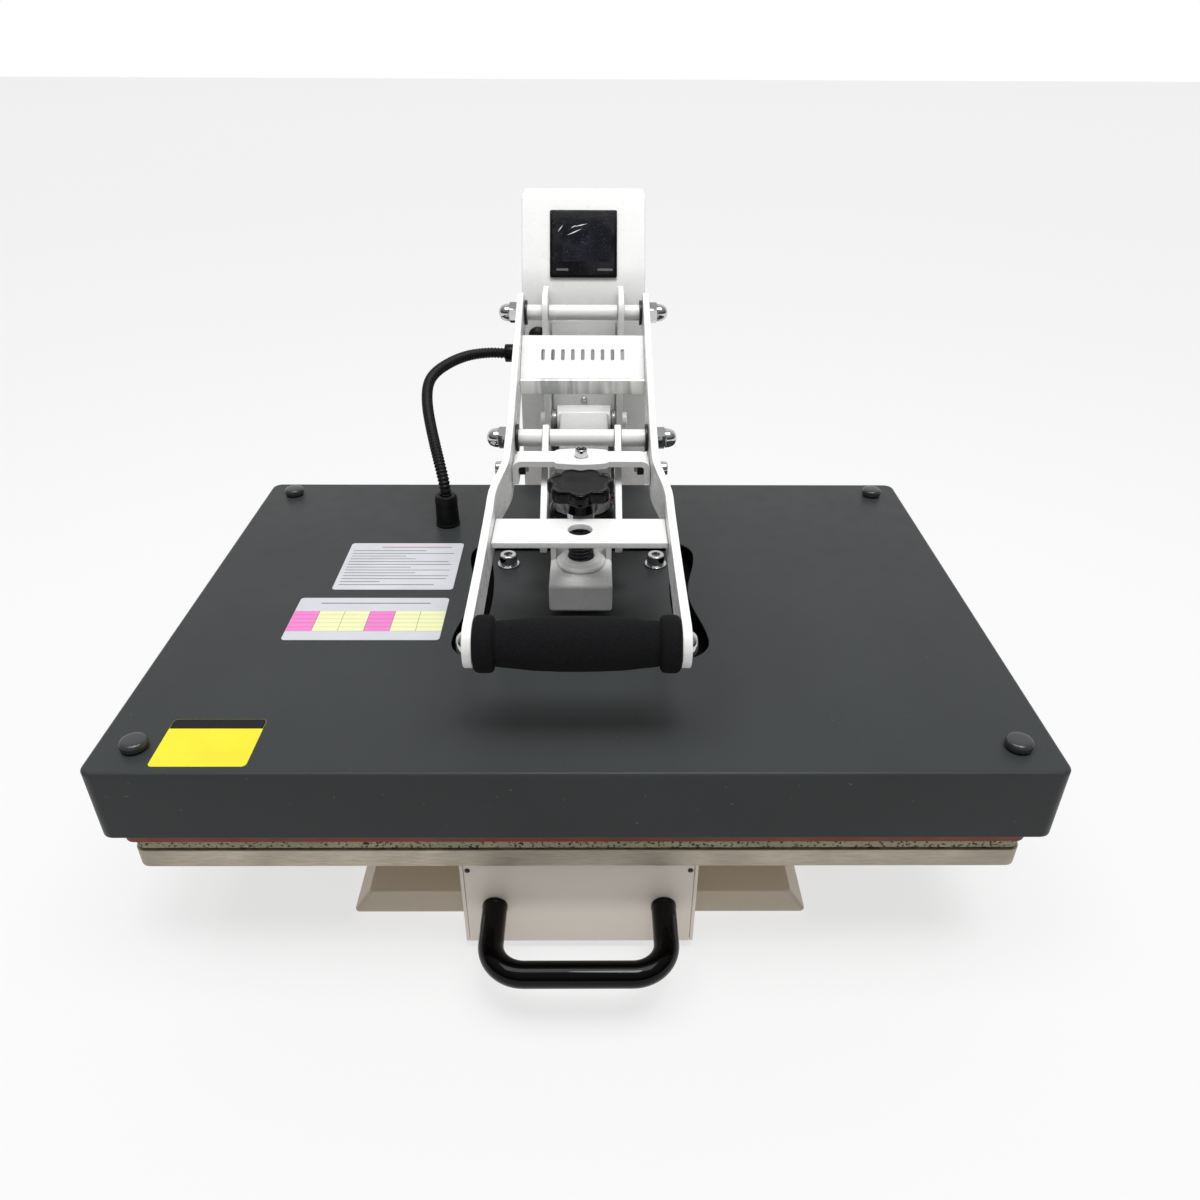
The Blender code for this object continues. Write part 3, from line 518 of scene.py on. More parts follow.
def soften(piece, width=0.5, segments=3, angle=40):
    """Round the sharp edges and keep the flats flat."""
    bevel = piece.modifiers.new("edges", "BEVEL")
    bevel.width = width * MM
    bevel.segments = segments
    bevel.limit_method = "ANGLE"
    bevel.angle_limit = math.radians(angle)
    bevel.use_clamp_overlap = True
    normals = piece.modifiers.new("normals", "WEIGHTED_NORMAL")
    normals.mode = "FACE_AREA"
    normals.keep_sharp = True
    return settle(piece)


def merge(name, *parts):
    """Several shapes as one piece, each keeping its material."""
    mesh = bpy.data.meshes.new(name)
    whole = bmesh.new()
    looks = []
    for part in parts:
        start = len(whole.faces)
        whole.from_mesh(part.data)
        whole.faces.ensure_lookup_table()
        own = list(part.data.materials)
        looks += [look for look in own if look not in looks]
        for face in whole.faces[start:]:
            face.material_index = looks.index(own[face.material_index])
    whole.to_mesh(mesh)
    whole.free()
    for part in parts:
        bpy.data.objects.remove(part, do_unlink=True)
    return place_mesh(name, mesh, *looks)


def put(piece, body, finish, *nodes):
    """Settle whose body a piece rides on and hide the nodes it stands for. The finish is not used."""
    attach(piece, body)
    if nodes:
        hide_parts(*nodes)


def hexagon(centre, across, turn=30):
    """A hexagon by its width across flats."""
    return circle(centre, across / math.sqrt(3), 6, math.radians(turn))


def hex_nut(name, axis, centre, across, start, end, look, turn=30):
    """A hexagon nut whose corners are chamfered, between two heights."""
    radius = across / math.sqrt(3)
    low, high = sorted((start, end))
    nut = prism(name, axis, hexagon(centre, across, turn), low, high, look)
    edge = 0.16 * radius
    full, rise = radius + 0.01, edge * 0.55
    profile = [(radius - edge, low), (full, low + rise), (full, high - rise), (radius - edge, high)]
    carve(nut, turned("keep", axis, centre, profile, look), operation="INTERSECT")
    return soften(nut, 0.25, 2, 25)


def socket_head(name, axis, centre, radius, start, end, key, look):
    """A cap screw's head, knurled round its side, with a hexagon socket in its end."""
    way = 1 if end > start else -1
    length = abs(end - start)
    profile = [(scale, start + way * length * part) for scale, part in
               ((0.985, 0.0), (1.0, 0.06), (1.0, 0.80), (0.95, 0.93), (0.88, 1.0))]
    head = fluted(name, axis, centre, radius, 72, 0.018, lambda i: i % 2, profile, look)
    low, high = sorted((end + way, end - way * length * 0.6))
    carve(head, prism("socket", axis, hexagon(centre, key), low, high, look))
    return soften(head, 0.2, 2, 35)


def smooth_path(points, spacing):
    """Points on a Catmull-Rom curve through the route, about as far apart as spacing."""
    made = []
    knots = [Vector(point) for point in points]
    for i in range(len(knots) - 1):
        before = knots[i - 1] if i else knots[0] * 2 - knots[1]
        after = knots[i + 2] if i + 2 < len(knots) else knots[-1] * 2 - knots[-2]
        a, b = knots[i], knots[i + 1]
        steps = max(1, round((b - a).length / spacing))
        for step in range(steps):
            t = step / steps
            made.append(0.5 * (2 * a + (b - before) * t + (2 * before - 5 * a + 4 * b - after) * t * t
                               + (3 * a - before - 3 * b + after) * t ** 3))
    return made + [knots[-1]]


def tube(name, path, radius, sides, look):
    """A round tube along a path. radius is a number, or a function of length along it."""
    rings = []
    forward = (path[1] - path[0]).normalized()
    side = forward.orthogonal().normalized()
    run = 0.0
    for i, point in enumerate(path):
        ahead = (path[min(i + 1, len(path) - 1)] - path[max(i - 1, 0)]).normalized()
        side = (side - ahead * side.dot(ahead)).normalized()
        lift = ahead.cross(side)
        if i:
            run += (point - path[i - 1]).length
        reach = radius(run) if callable(radius) else radius
        rings.append([point + (side * math.cos(a) + lift * math.sin(a)) * reach
                      for a in (math.tau * k / sides for k in range(sides))])
    return loft(name, rings, look)


# ---- base and column


def base_tray():
    """The folded tray: sloping skirts with a soft bend along the top."""
    x, y, z = span("base_plate")
    skirt, bend, sheet = 11.0, 3.0, 2.6
    rings = [inset(x, y, skirt + sheet, 2.5, 5, z[1] - sheet), inset(x, y, sheet, 2.5, 5, z[0]),
             inset(x, y, 0.0, 4.0, 5, z[0]), inset(x, y, 0.0, 4.0, 5, z[0] + 0.6)]
    for i in range(6):
        t = i / 5
        rings.append(inset(x, y, skirt - bend * (1 - t) * 0.75, 4.0, 5, z[1] - bend * (1 - t) ** 2 * 0.62))
    put(soften(loft("base_tray", rings, CREAM), 0.3, 2, 50), "base", "cream_coat", "base_plate")
    profile = lifted([(5.4, 0.0), (5.4, 0.7), (3.6, 2.2), (0.4, 2.7)], z[1])
    screws = []
    for side in (-1, 1):
        for back in (y[0] + 60.0, y[1] - 70.0):
            head = turned("head", "Z", (side * (x[1] - 40.0), back), profile, ZINC)
            screws.append(soften(head, 0.2, 2, 35))
    put(merge("base_screws", *screws), "base", "zinc")


def foot_pads():
    for end in ("front", "rear"):
        for _, word in SIDES:
            node = f"foot_{end}_{word}"
            x, y, z = span(node)
            profile = [(11.0, 0.0), (12.4, 0.3), (13.6, 1.2), (14.0, 2.2), (13.8, 4.0), (13.3, 6.2),
                       (13.0, 9.0), (9.4, 9.2), (9.0, z[1])]
            pad = turned(f"{node}_pad", "Z", (middle(x), middle(y)), profile, RUBBER)
            put(soften(pad, 0.3, 2), "base", "rubber", node)


def upright_plates():
    """Laser-cut plates with a round front corner that leans back to the base."""
    for node in ("upright_left", "upright_right"):
        x, y, z = span(node)
        front = y[0] + 14.0
        outline = [(y[0], z[0]), (y[1], z[0]), (y[1], z[1] - 3)] + arc((y[1] - 3, z[1] - 3), 3, 0, 90, 3)
        outline += arc((front + 16, z[1] - 16), 16, 90, 180, 12) + [(front, 70.0)]
        plate = prism(f"{node}_plate", "X", outline, x[0], x[1], WHITE)
        put(soften(plate, 0.7), "base", "white_coat", node)


def face_sheet(name, outline, low, high, look):
    """An outline of (x, distance up the control face), between two depths in front of it."""
    up = (Vector(FACE_HIGH) - Vector(FACE_LOW)).normalized()
    out = Vector((-up.y, up.x))
    rings = []
    for depth in (low, high):
        rings.append([(x, *(Vector(FACE_LOW) + up * rise + out * depth)) for x, rise in outline])
    sheet = loft(name, rings, look)
    sheet.data.shade_flat()
    return sheet


def fold(start, corner, end, steps):
    """A soft fold from start to end, pulled towards a corner."""
    points = []
    for i in range(steps + 1):
        t = i / steps
        points.append(tuple(start * (1 - t) ** 2 + corner * (2 * t * (1 - t)) + end * t * t))
    return points


def column_box():
    """The bent sheet column; its top leans back to carry the display."""
    x, y, z = COLUMN
    low, high = Vector(FACE_LOW), Vector(FACE_HIGH)
    up = (high - low).normalized()
    bend = fold(Vector((y[0], low.y - 20.0)), low, low + up * 22.0, 8)
    crown = fold(high - up * 3.5, high, high + Vector((4.0, 0.0)), 6)
    rear = y[1] - 0.1
    outline = [(rear, z[0]), (y[0], z[0])] + bend + crown + [(rear, z[1])]
    shell = prism("column_case", "X", outline, x[0], x[1], WHITE)
    put(soften(shell, 1.2, 4, 50), "base", "white_coat", "column_shell")


def column_front():
    """The raised service panel and its screw, the side sheets and the grommet."""
    y = COLUMN[1][0]
    half, low, high, thick = 31.5, 60.0, 333.5, 4.5
    outline = rounded((-half, half), (low, high), 3.0, 4)
    panel = prism("service_panel", "Y", outline, y - thick, y + 0.4, WHITE)
    put(soften(panel, 0.8), "base", "white_coat")
    profile = lifted([(3.4, 0.0), (3.4, 0.8), (2.4, 1.9), (0.3, 2.2)], y - thick, -1)
    put(soften(turned("service_screw", "Y", (0.0, 252.0), profile, ZINC, 32), 0.15, 2, 30), "base", "zinc")
    low, high, wide, back, sheet = COLUMN[2][0] + 0.2, 281.0, COLUMN[0][1] + 4.5, 303.0, 1.8
    wings = []
    for side in (-1, 1):
        plan = [(40.0, y - sheet), (wide, y - sheet), (wide, back), (wide - sheet, back), (wide - sheet, y),
                (40.0, y)]
        wings.append(soften(prism("wing", "Z", [(side * a, b) for a, b in plan], low, high, WHITE), 0.6))
        across = sorted((side * (COLUMN[0][1] + 0.2), side * (wide - 0.4)))
        wings.append(soften(box("cap", across, (y + 0.2, back), (high - 2.0, high - 0.2), WHITE), 0.4, 2))
    put(merge("column_wings", *wings), "base", "white_coat")
    dome = lifted([(9.5, -0.2), (9.5, 1.0), (8.6, 2.2), (6.6, 4.6), (3.8, 6.2), (0.4, 6.8)], y, -1)
    put(soften(turned("grommet", "Y", (-45.5, 316.5), dome, RUBBER, 40), 0.3, 2, 35), "base", "rubber")


def display():
    """The controller: a black bezel, its glass, and thin near-white slivers over the glass that are painted
    glints on its film's creases.
    """
    centre, reach, pane = DISPLAY_AT, 32.5, 30.1

    def face_card(name, x, y, radius, steps, low, high, look):
        return face_sheet(name, rounded(x, (centre + y[0], centre + y[1]), radius, steps), low, high, look)

    bezel = face_card("display_bezel", (-reach, reach), (-reach, reach), 1.6, 4, 0.1, 2.0, GLOSS_BLACK)
    put(soften(bezel, 0.35, 2), "base", "black_plastic", "display_unit")
    glass = face_card("display_pane", (-pane, pane), (-pane, pane), 0.8, 3, 1.9, 2.35, GLASS)
    put(soften(glass, 0.12, 1), "base", "display")
    screen = face_card("display_screen", (-20.5, 26.5), (-17.5, 25.0), 0.8, 2, 2.36, 2.42, SCREEN)
    put(screen, "base", "display")
    marks = []
    for x in ((-26.5, -14.5), (13.5, 28.5)):
        marks.append(face_card("mark", x, (-26.4, -24.2), 1.0, 3, 2.36, 2.42, DIM_MARK))
    put(merge("display_marks", *marks), "base", "display")
    # Thin near-white slivers on the glass: painted glints where the film's creases catch the light
    painted_glints = []
    for start, end in (((-25.0, 11.0), (-19.6, 18.0)), ((-16.4, 7.6), (-1.0, 14.4)),
                       ((-12.5, 14.6), (-7.0, 17.6)), ((-9.0, 16.0), (3.5, 19.0))):
        start, end = Vector(start), Vector(end)
        run = end - start
        across = Vector((-run.y, run.x)).normalized() * 0.42
        quad = [start, start + run * 0.5 - across, end, start + run * 0.5 + across]
        outline = [(point.x, centre + point.y) for point in quad]
        painted_glints.append(face_sheet("painted_glint", outline, 2.42, 2.48, FILM_GLINT_WHITE))
    put(merge("film_painted_glints", *painted_glints), "base", "display")


def back_panel():
    """The rear cover: stamped vents, corner screws and the power inlet's opening."""
    x, y, z = span("rear_cover")
    panel = prism("back_panel", "Y", rounded(x, z, 2.5, 4), y[0], y[1], WHITE)
    inlet_x, _, inlet_z = [(low - 0.3, high + 0.3) for low, high in span("power_inlet")]
    openings = [stadium((-28.0, height), (28.0, height), 2.0, 2.0, 8) for height in range(332, 402, 12)]
    openings.append(rounded(inlet_x, inlet_z, 1.5, 3))
    carve(panel, *(prism("slot", "Y", outline, y[0] - 5, y[1] + 5, WHITE) for outline in openings))
    put(soften(panel, 0.4, 2), "base", "white_coat", "rear_cover")
    profile = lifted([(3.4, 0.0), (3.4, 0.7), (2.3, 1.7), (0.3, 2.0)], y[1])
    screws = []
    for side in (-1, 1):
        for height in (z[0] + 14.0, z[1] - 14.0, 225.0):
            head = turned("head", "Y", (side * (x[1] - 7.0), height), profile, ZINC, 32)
            screws.append(soften(head, 0.15, 2, 30))
    put(merge("back_screws", *screws), "base", "zinc")


def power_entry():
    """Inlet body with a rim, three pins, and the rocker beside them."""
    x, y, z = span("power_inlet")
    body = prism("inlet_body", "Y", rounded(x, z, 2.0, 4), y[0], y[1], SATIN_BLACK)
    socket, pocket = rounded((-10.5, 10.5), (65.5, 81.5), 2.5, 4), rounded((-8.8, 8.8), (87.2, 108.8), 0.8, 3)
    carve(body, *(prism("cutter", "Y", outline, y[1] - depth, y[1] + 5, SATIN_BLACK)
                  for outline, depth in ((socket, 19.0), (pocket, 17.0))))
    put(soften(body, 0.4, 2), "base", "black_plastic", "power_inlet")
    pins = []
    for across, height in ((-5.5, 71.5), (0.0, 76.0), (5.5, 71.5)):
        outline = rounded((across - 1.0, across + 1.0), (height - 2.6, height + 2.6), 0.6, 3)
        pins.append(soften(prism("pin", "Y", outline, y[1] - 19.5, y[1] - 4.0, CHROME), 0.3, 2))
    put(merge("inlet_pins", *pins), "base", "chrome")
    mesh = NODES["power_rocker"].data.copy()
    mesh.name = "rocker_cap"
    mesh.materials.clear()
    mesh.shade_smooth()
    rocker = place_mesh("rocker_cap", mesh, GLOSS_BLACK)
    put(soften(rocker, 0.8, 3, 25), "switch", "black_plastic", "power_rocker")


def acorn(name, side, centre, body, node):
    """A chrome dome nut on a thin flange, outside a handle plate."""
    start = side * (INNER_X + PLATE_THICK + 0.3)
    nut = hex_nut("hex", "X", centre, 17.0, start, start + side * 8.0, CHROME)
    profile = [(8.1, 7.4), (8.1, 9.6), (7.95, 11.2), (7.4, 13.2), (6.4, 15.2), (5.0, 16.6), (3.2, 17.6),
               (1.2, 17.98), (0.2, 18.0)]
    dome = turned("dome", "X", centre, lifted(profile, start, side), CHROME)
    put(merge(name, nut, dome), body, "chrome", node)


def cross_rods():
    """The two pivot rods with their white spacer tubes, washers and dome nuts."""
    gap, core_r, spacer_r = 0.3, 5.0, 7.2
    for rod, centre, clear, body in (("top", HANDLE_PIVOT, (33.0, 38.5), "base"),
                                     ("mid", LINK_PIVOT, LINK_X, "handle")):
        parts = []
        for low, high in ((-clear[0] + gap, clear[0] - gap), (clear[1] + gap, INNER_X - 0.5),
                          (0.5 - INNER_X, -clear[1] - gap)):
            sleeve = [(core_r + 0.1, low), (spacer_r, low), (spacer_r, high), (core_r + 0.1, high)]
            parts.append(soften(turned("sleeve", "X", centre, sleeve, WHITE), 0.5, 2))
        end = INNER_X + PLATE_THICK
        parts.append(turned("core", "X", centre, [(core_r, -end), (core_r, end)], ZINC, 32))
        for side in (-1, 1):
            low, high = sorted((side * (INNER_X - 2.7), side * (INNER_X - 0.5)))
            washer = [(7.3, low), (11.5, low), (11.5, high), (7.3, high)]
            parts.append(soften(turned("washer", "X", centre, washer, DARK_STEEL), 0.3, 2))
        put(merge(f"{rod}_spacers", *parts), body, "white_coat", f"{rod}_rod")
        for side, word in SIDES:
            acorn(f"{rod}_acorn_{word}", side, centre, body, f"{rod}_nut_{word}")


def arm_axle():
    x = span("arm_shaft")[0]
    head = [(6.0, 0.0), (6.0, 38.8), (8.0, 38.8), (8.0, x[1] - 0.8), (7.0, x[1])]
    profile = [(radius, -out) for radius, out in reversed(head)] + head[1:]
    put(soften(turned("arm_axle", "X", ARM_PIVOT, profile, WHITE), 0.3, 2), "base", "white_coat", "arm_shaft")


def coil_springs():
    """Torsion springs round the axle, as open coils."""
    wire, coil_r, turns, steps = 0.95, 9.6, 2.6, 26
    for _, word in SIDES:
        node = f"opening_spring_{word}"
        low, high = span(node)[0]
        path = []
        for i in range(int(turns * steps)):
            across = low + wire + (high - low - 2 * wire) * i / (turns * steps)
            path.append(Vector((across, *polar(ARM_PIVOT, coil_r, math.tau * i / steps))))
        put(tube(f"{node}_coil", path, wire, 10, ZINC), "base", "zinc", node)


# ---- handle


def plate_offset(y):
    """How far the handle plates have stepped outwards at y."""
    part = min(max((STEP_Y[0] - y) / (STEP_Y[0] - STEP_Y[1]), 0.0), 1.0)
    return SPREAD * part * part * (3 - 2 * part)


def handle_plates():
    """Two long flat bars on edge, deepest at the middle rod, with round ends."""
    spine = [(*HANDLE_PIVOT, 18.0), (113.0, 315.5, 19.5), (*LINK_PIVOT, 22.0), (*BRACKET_BOLT, 20.0),
             (-30.0, 270.0, 18.5), (-51.0, 267.0, 17.2), (-72.0, 264.5, 16.0), (-100.0, 262.0, 15.0),
             (-165.0, 258.5, 14.5), (*GRIP, 15.0)]
    fine = smooth_path(spine, 7.0)
    stations = []
    for i, knot in enumerate(fine):
        ahead, behind = fine[min(i + 1, len(fine) - 1)], fine[max(i - 1, 0)]
        stations.append((knot.xy, (ahead - behind).xy.normalized(), knot.z))
    caps = []
    for (point, way, _), sign, half in ((stations[0], -1, spine[0][2]), (stations[-1], 1, spine[-1][2])):
        caps.append([(point + way * (sign * half * math.sin(turn)), way, half * math.cos(turn))
                     for turn in map(math.radians, range(80, 0, -10))])
    stations = caps[0] + stations + caps[1][::-1]
    for side, word in SIDES:
        rings = []
        for point, way, half in stations:
            normal = Vector((-way.y, way.x)) * half
            inner = INNER_X + plate_offset(point.x)
            outer = inner + PLATE_THICK
            rings.append([(side * inner, *(point - normal)), (side * outer, *(point - normal)),
                          (side * outer, *(point + normal)), (side * inner, *(point + normal))])
        plate = loft(f"handle_bar_{word}", rings, WHITE)
        put(soften(plate, 0.9, 3, 50), "handle", "white_coat", f"handle_plate_{word}")


def pierced_panel():
    """The sloping panel between the plates: a row of slots and a bare folded flange."""
    half, foot = span("cross_panel")[0][1], span("cross_panel")[2][0]
    high, low, thick = Vector((147.0, 338.0)), Vector((102.5, 311.0)), 3.0
    slope = (high - low).normalized()
    normal = Vector((-slope.y, slope.x))
    under, start = normal * thick, low + slope * 1.5
    face = [high, high - under, start - under, start]
    panel = prism("pierced_panel", "X", face, -half, half, WHITE)
    centre = (high + low) / 2 + slope * 3
    cutters = []
    for i in range(9):
        across = (i - 4) * 9.0
        rings = [[(across + u, *(centre + normal * depth + slope * v))
                  for u, v in stadium((0.0, -4.9), (0.0, 4.9), 1.6, 1.6, 8)] for depth in (3.0, -6.0)]
        cutters.append(loft("slot", rings, WHITE))
    carve(panel, *cutters)
    put(soften(panel, 0.4, 2), "handle", "white_coat", "cross_panel")
    front = low.x - under.x - thick
    flange = [start, (low.x - 1.0, low.y - 0.6), (front + 0.4, low.y - 3.0), (front, low.y - 5.0),
              (front, foot), (front + thick, foot), (front + thick, low.y - 4.0), start - under]
    put(soften(prism("bare_flange", "X", flange, -half, half, BARE), 0.4, 2, 50), "handle", "zinc")


def handle_bar():
    """The flat bar in front of the knob, with a plain round hole."""
    x, y, z = span("cross_bar")
    bar = box("front_bar", x, y, z, WHITE)
    carve(bar, turned("cutter", "Z", (0.0, middle(y) + 2.0), [(9.0, z[0] - 3), (9.0, z[1] + 3)], WHITE, 64))
    put(soften(bar, 0.9, 3), "handle", "white_coat", "cross_bar")


def latch_strap():
    """The bent strap over the magnet, swelling round its screw."""
    outer, thick, top, foot = INNER_X - 0.5, 5.0, STRAP_TOP, span("latch_bracket")[2][0]
    half, swell, swell_x = 10.8, 5.8, 21.0
    bend = (7.5 - outer, top - 7.5)
    path = [(-outer, foot)] + arc(bend, 7.5, 180, 90, 8)
    back = [(-outer + thick, foot)] + arc(bend, 2.5, 180, 90, 8)
    across = [2.0 * i for i in range(-20, 21)]
    path += [(x, top) for x in across] + [(-x, z) for x, z in reversed(path)]
    back += [(x, top - thick) for x in across] + [(-x, z) for x, z in reversed(back)]
    rings = []
    for (x, z), (u, w) in zip(path, back):
        reach = half
        if abs(x) < swell_x and z > top - 1:
            reach += swell * (math.cos(math.pi * x / (2 * swell_x)) * 0.5 + 0.5)
        front, rear = MAGNET_Y - reach, MAGNET_Y + reach
        rings.append([(x, front, z), (x, rear, z), (u, rear, w), (u, front, w)])
    strap = loft("magnet_strap", rings, WHITE)
    carve(strap, turned("cutter", "Z", (0.0, MAGNET_Y), [(5.4, top - 9), (5.4, top + 4)], WHITE))
    put(soften(strap, 0.8, 3, 50), "handle", "white_coat", "latch_bracket")
    bolts = []
    start, inside = INNER_X + plate_offset(BRACKET_BOLT[0]) + PLATE_THICK, outer - thick
    for side in (-1, 1):
        ends = side * start, side * (start + 8.0)
        bolts.append(socket_head("head", "X", BRACKET_BOLT, 5.5, *ends, 5.0, CHROME))
        ends = side * (inside - 0.2), side * (inside - 5.2)
        bolts.append(hex_nut("nut", "X", BRACKET_BOLT, 10.0, *ends, BLACK_SCREW))
        shank = [(3.0, side * (inside - 7.5)), (3.0, side * (start + 0.5))]
        bolts.append(turned("shank", "X", BRACKET_BOLT, shank, ZINC, 24))
    put(merge("strap_bolts", *bolts), "handle", "zinc")


def keeper():
    """The steel keeper under the strap, on its cap screw."""
    x, y, (low, top) = span("armature_plate")
    centre = (0.0, MAGNET_Y)
    bar = soften(prism("bar", "Z", rounded(x, y, 3.0, 5), low, low + 5.0, ZINC), 0.5)
    shaft = turned("shaft", "Z", centre, [(4.8, low + 1), (4.8, STRAP_TOP + 0.5)], ZINC, 32)
    head = socket_head("head", "Z", centre, 5.0, STRAP_TOP + 0.3, top, 4.6, CHROME)
    put(merge("magnet_keeper", bar, shaft, head), "handle", "zinc", "armature_plate")


def foam_grip():
    """The foam sleeve: a slight barrel with a flanged roll at each end."""
    ends = span("grip_foam")[0][1]
    half = [(17.4, 0.0), (17.3, 10.0), (17.0, 20.0), (16.5, 28.0), (15.8, 36.0), (15.0, 43.0)]
    half += lifted([(14.3, 13.8), (13.7, 13.2), (14.0, 12.8), (16.0, 12.4), (17.4, 11.5), (18.0, 9.9),
                    (18.2, 7.0), (18.2, 4.4), (17.9, 2.2), (17.1, 0.8), (15.8, 0.0), (8.0, 0.0)], ends, -1)
    knots = [(radius, -x) for radius, x in reversed(half)] + half[1:]
    profile = []
    for (radius, x), (next_radius, next_x) in zip(knots, knots[1:]):
        steps = max(1, round(abs(next_x - x) / 1.5))
        for i in range(steps):
            t = i / steps
            profile.append((radius + (next_radius - radius) * t, x + (next_x - x) * t))
    foam = turned("foam_sleeve", "X", GRIP, profile + [knots[-1]], FOAM, 80)
    for vert in foam.data.vertices:
        spot = vert.co * 120.0
        vert.co += vert.normal * (noise.noise(spot) * 0.00018 + noise.noise(spot * 5.0) * 0.00008)
    put(foam, "handle", "foam", "grip_foam")
    outside = INNER_X + SPREAD + PLATE_THICK
    parts = [turned("rod", "X", GRIP, [(6.0, -outside), (6.0, outside)], ZINC, 32)]
    for side in (-1, 1):
        profile = lifted([(7.9, 0.0), (8.0, 0.5), (7.4, 2.0), (6.2, 3.4), (4.6, 4.4)], side * outside, side)
        button = turned("button", "X", GRIP, profile, CHROME)
        low, high = sorted((side * (outside + 2.0), side * (outside + 6.0)))
        carve(button, prism("socket", "X", hexagon(GRIP, 5.0), low, high, CHROME))
        parts.append(soften(button, 0.2, 2, 50))
    put(merge("grip_bolt", *parts), "handle", "chrome", "grip_rod")


# ---- links, arm and screw


def push_links():
    """The two links, each with its end pin and nut."""
    inner, outer = LINK[0][0], LINK_X[1]
    for side, word in SIDES:
        low, high = sorted((side * LINK_X[0], side * LINK_X[1]))
        outline = stadium(ARM_END, LINK_PIVOT, LINK_END_R, LINK_TOP_R, 20)
        bar = soften(prism("bar", "X", outline, low, high, WHITE), 0.8)
        profile = [(4.0, side * inner), (4.0, side * (outer + 8.4)), (3.4, side * (outer + 9.0))]
        pin = turned("pin", "X", ARM_END, profile, ZINC, 32)
        nut = hex_nut("nut", "X", ARM_END, 11.0, side * (outer + 0.1), side * (outer + 6.0), ZINC, 20)
        put(merge(f"push_link_{word}", bar, pin, nut), "links", "white_coat", f"link_{word}")


def arm_tube():
    """The square tube: a closed front, two lugs on top and a sleeve in its turned-up tail."""
    half, floor, top, corner = 24.5, 191.5, 216.0, 3.2
    front = span("arm_beam")[1][0]
    outline = arc((front + corner, floor + corner), corner, 180, 270, 5)
    outline += [(171.0, floor), (210.0, 226.0), (209.0, 246.0), (187.0, 247.5), (155.0, top)]
    outline += arc((front + corner, top - corner), corner, 90, 180, 5)
    beam = soften(prism("beam", "X", outline, -half, half, WHITE), 3.0, 5, 50)
    carve(beam, turned("cutter", "Z", (0.0, CENTRE_Y), [(10.6, floor - 5), (10.6, top + 5)], WHITE))
    parts = [beam]
    lug = arc(ARM_END, 7.5, 0, 180, 14) + [(ARM_END[0] - 7.0, top - 1), (ARM_END[0] + 13.0, top - 1)]
    for side in (-1, 1):
        low, high = sorted((side * 19.8, side * 24.3))
        plate = prism("lug", "X", lug, low, high, WHITE)
        carve(plate, turned("cutter", "X", ARM_END, [(4.3, low - 3), (4.3, high + 3)], WHITE, 32))
        parts.append(soften(plate, 0.6, 2))
    sleeve = [(6.4, -27.0), (15.0, -27.0), (15.0, 27.0), (6.4, 27.0)]
    parts.append(soften(turned("sleeve", "X", ARM_PIVOT, sleeve, WHITE, 64), 0.7, 3))
    put(merge("arm_tube", *parts), "arm", "white_coat", "arm_beam")


def magnet():
    """The electromagnet's can in its black cup, and the lead to it."""
    centre = (0.0, MAGNET_Y)
    low, high = span("magnet_base")[2]
    profile = [(26.5, low), (27.0, low + 1.2), (27.0, high - 1.6), (25.4, high)]
    cup = turned("magnet_cup", "Z", centre, profile, SATIN_BLACK, 64)
    put(soften(cup, 0.4, 2), "arm", "black_plastic", "magnet_base")
    low, high = span("electromagnet")[2]
    coil = [(23.0, low), (24.0, low + 1.0), (24.0, low + 8.0), (23.7, low + 8.4), (24.0, low + 8.8),
            (24.0, high - 1.0), (23.0, high), (18.5, high), (18.5, high - 0.5), (9.0, high - 0.5),
            (9.0, high)]
    can = turned("magnet_can", "Z", centre, coil, CHROME, 72)
    put(soften(can, 0.25, 2, 30), "arm", "chrome", "electromagnet")
    route = [(x, MAGNET_Y + back, z) for x, back, z in
             ((24.5, 9.0, 243.0), (27.5, 11.0, 242.0), (29.0, 16.0, 234.0), (26.0, 24.0, 224.0),
              (20.0, 34.0, 218.5), (17.0, 60.0, 218.2), (18.0, 100.0, 218.2), (17.0, 140.0, 218.2))]
    put(tube("magnet_lead", smooth_path(route, 3.0), 1.4, 12, WIRE), "arm", "rubber")


def bush():
    low = span("screw_bush")[2][0]
    profile = lifted([(10.6, 6.2), (10.6, 0.0), (19.1, 0.0), (19.5, 0.5), (19.5, 2.2), (18.9, 2.9),
                      (17.0, 3.3), (16.5, 4.0), (16.1, 5.0), (15.0, 5.9), (13.2, 6.2)], low)
    ring = turned("bush_ring", "Z", (0.0, CENTRE_Y), profile, WHITE, 64, ends=False)
    put(soften(ring, 0.2, 2, 35), "arm", "white_coat", "screw_bush")


def threaded_screw():
    """The pressure screw, with a real helical thread."""
    low, high = span("pressure_screw")[2]
    centre = (0.0, CENTRE_Y)
    pitch, crest, root, sides, start = 3.1, 10.0, 8.2, 48, 190.0
    rings = [[along("Z", flat, height) for flat in circle(centre, radius, sides)]
             for radius, height in ((5.0, low), (6.0, low + 1.0), (6.0, start - 1.5), (root, start - 0.5))]
    steps = round((high - start) / pitch * 8)
    for i in range(steps + 1):
        height = start + (high - start) * i / steps
        ring = []
        for k, (x, y) in enumerate(circle((0.0, 0.0), 1.0, sides)):
            wave = abs((height / pitch - k / sides) % 1.0 * 2 - 1)
            reach = root + (crest - root) * min(1.0, max(0.0, wave * 1.7 - 0.35))
            ring.append((x * reach, CENTRE_Y + y * reach, height))
        rings.append(ring)
    put(loft("pressure_thread", rings, BLACK_SCREW), "pressure_knob", "black_steel", "pressure_screw")
    neck = turned("screw_neck", "Z", centre, [(10.3, high - 5.5), (10.8, high - 5.0), (10.8, high)], CHROME)
    put(soften(neck, 0.2, 2, 35), "pressure_knob", "chrome")


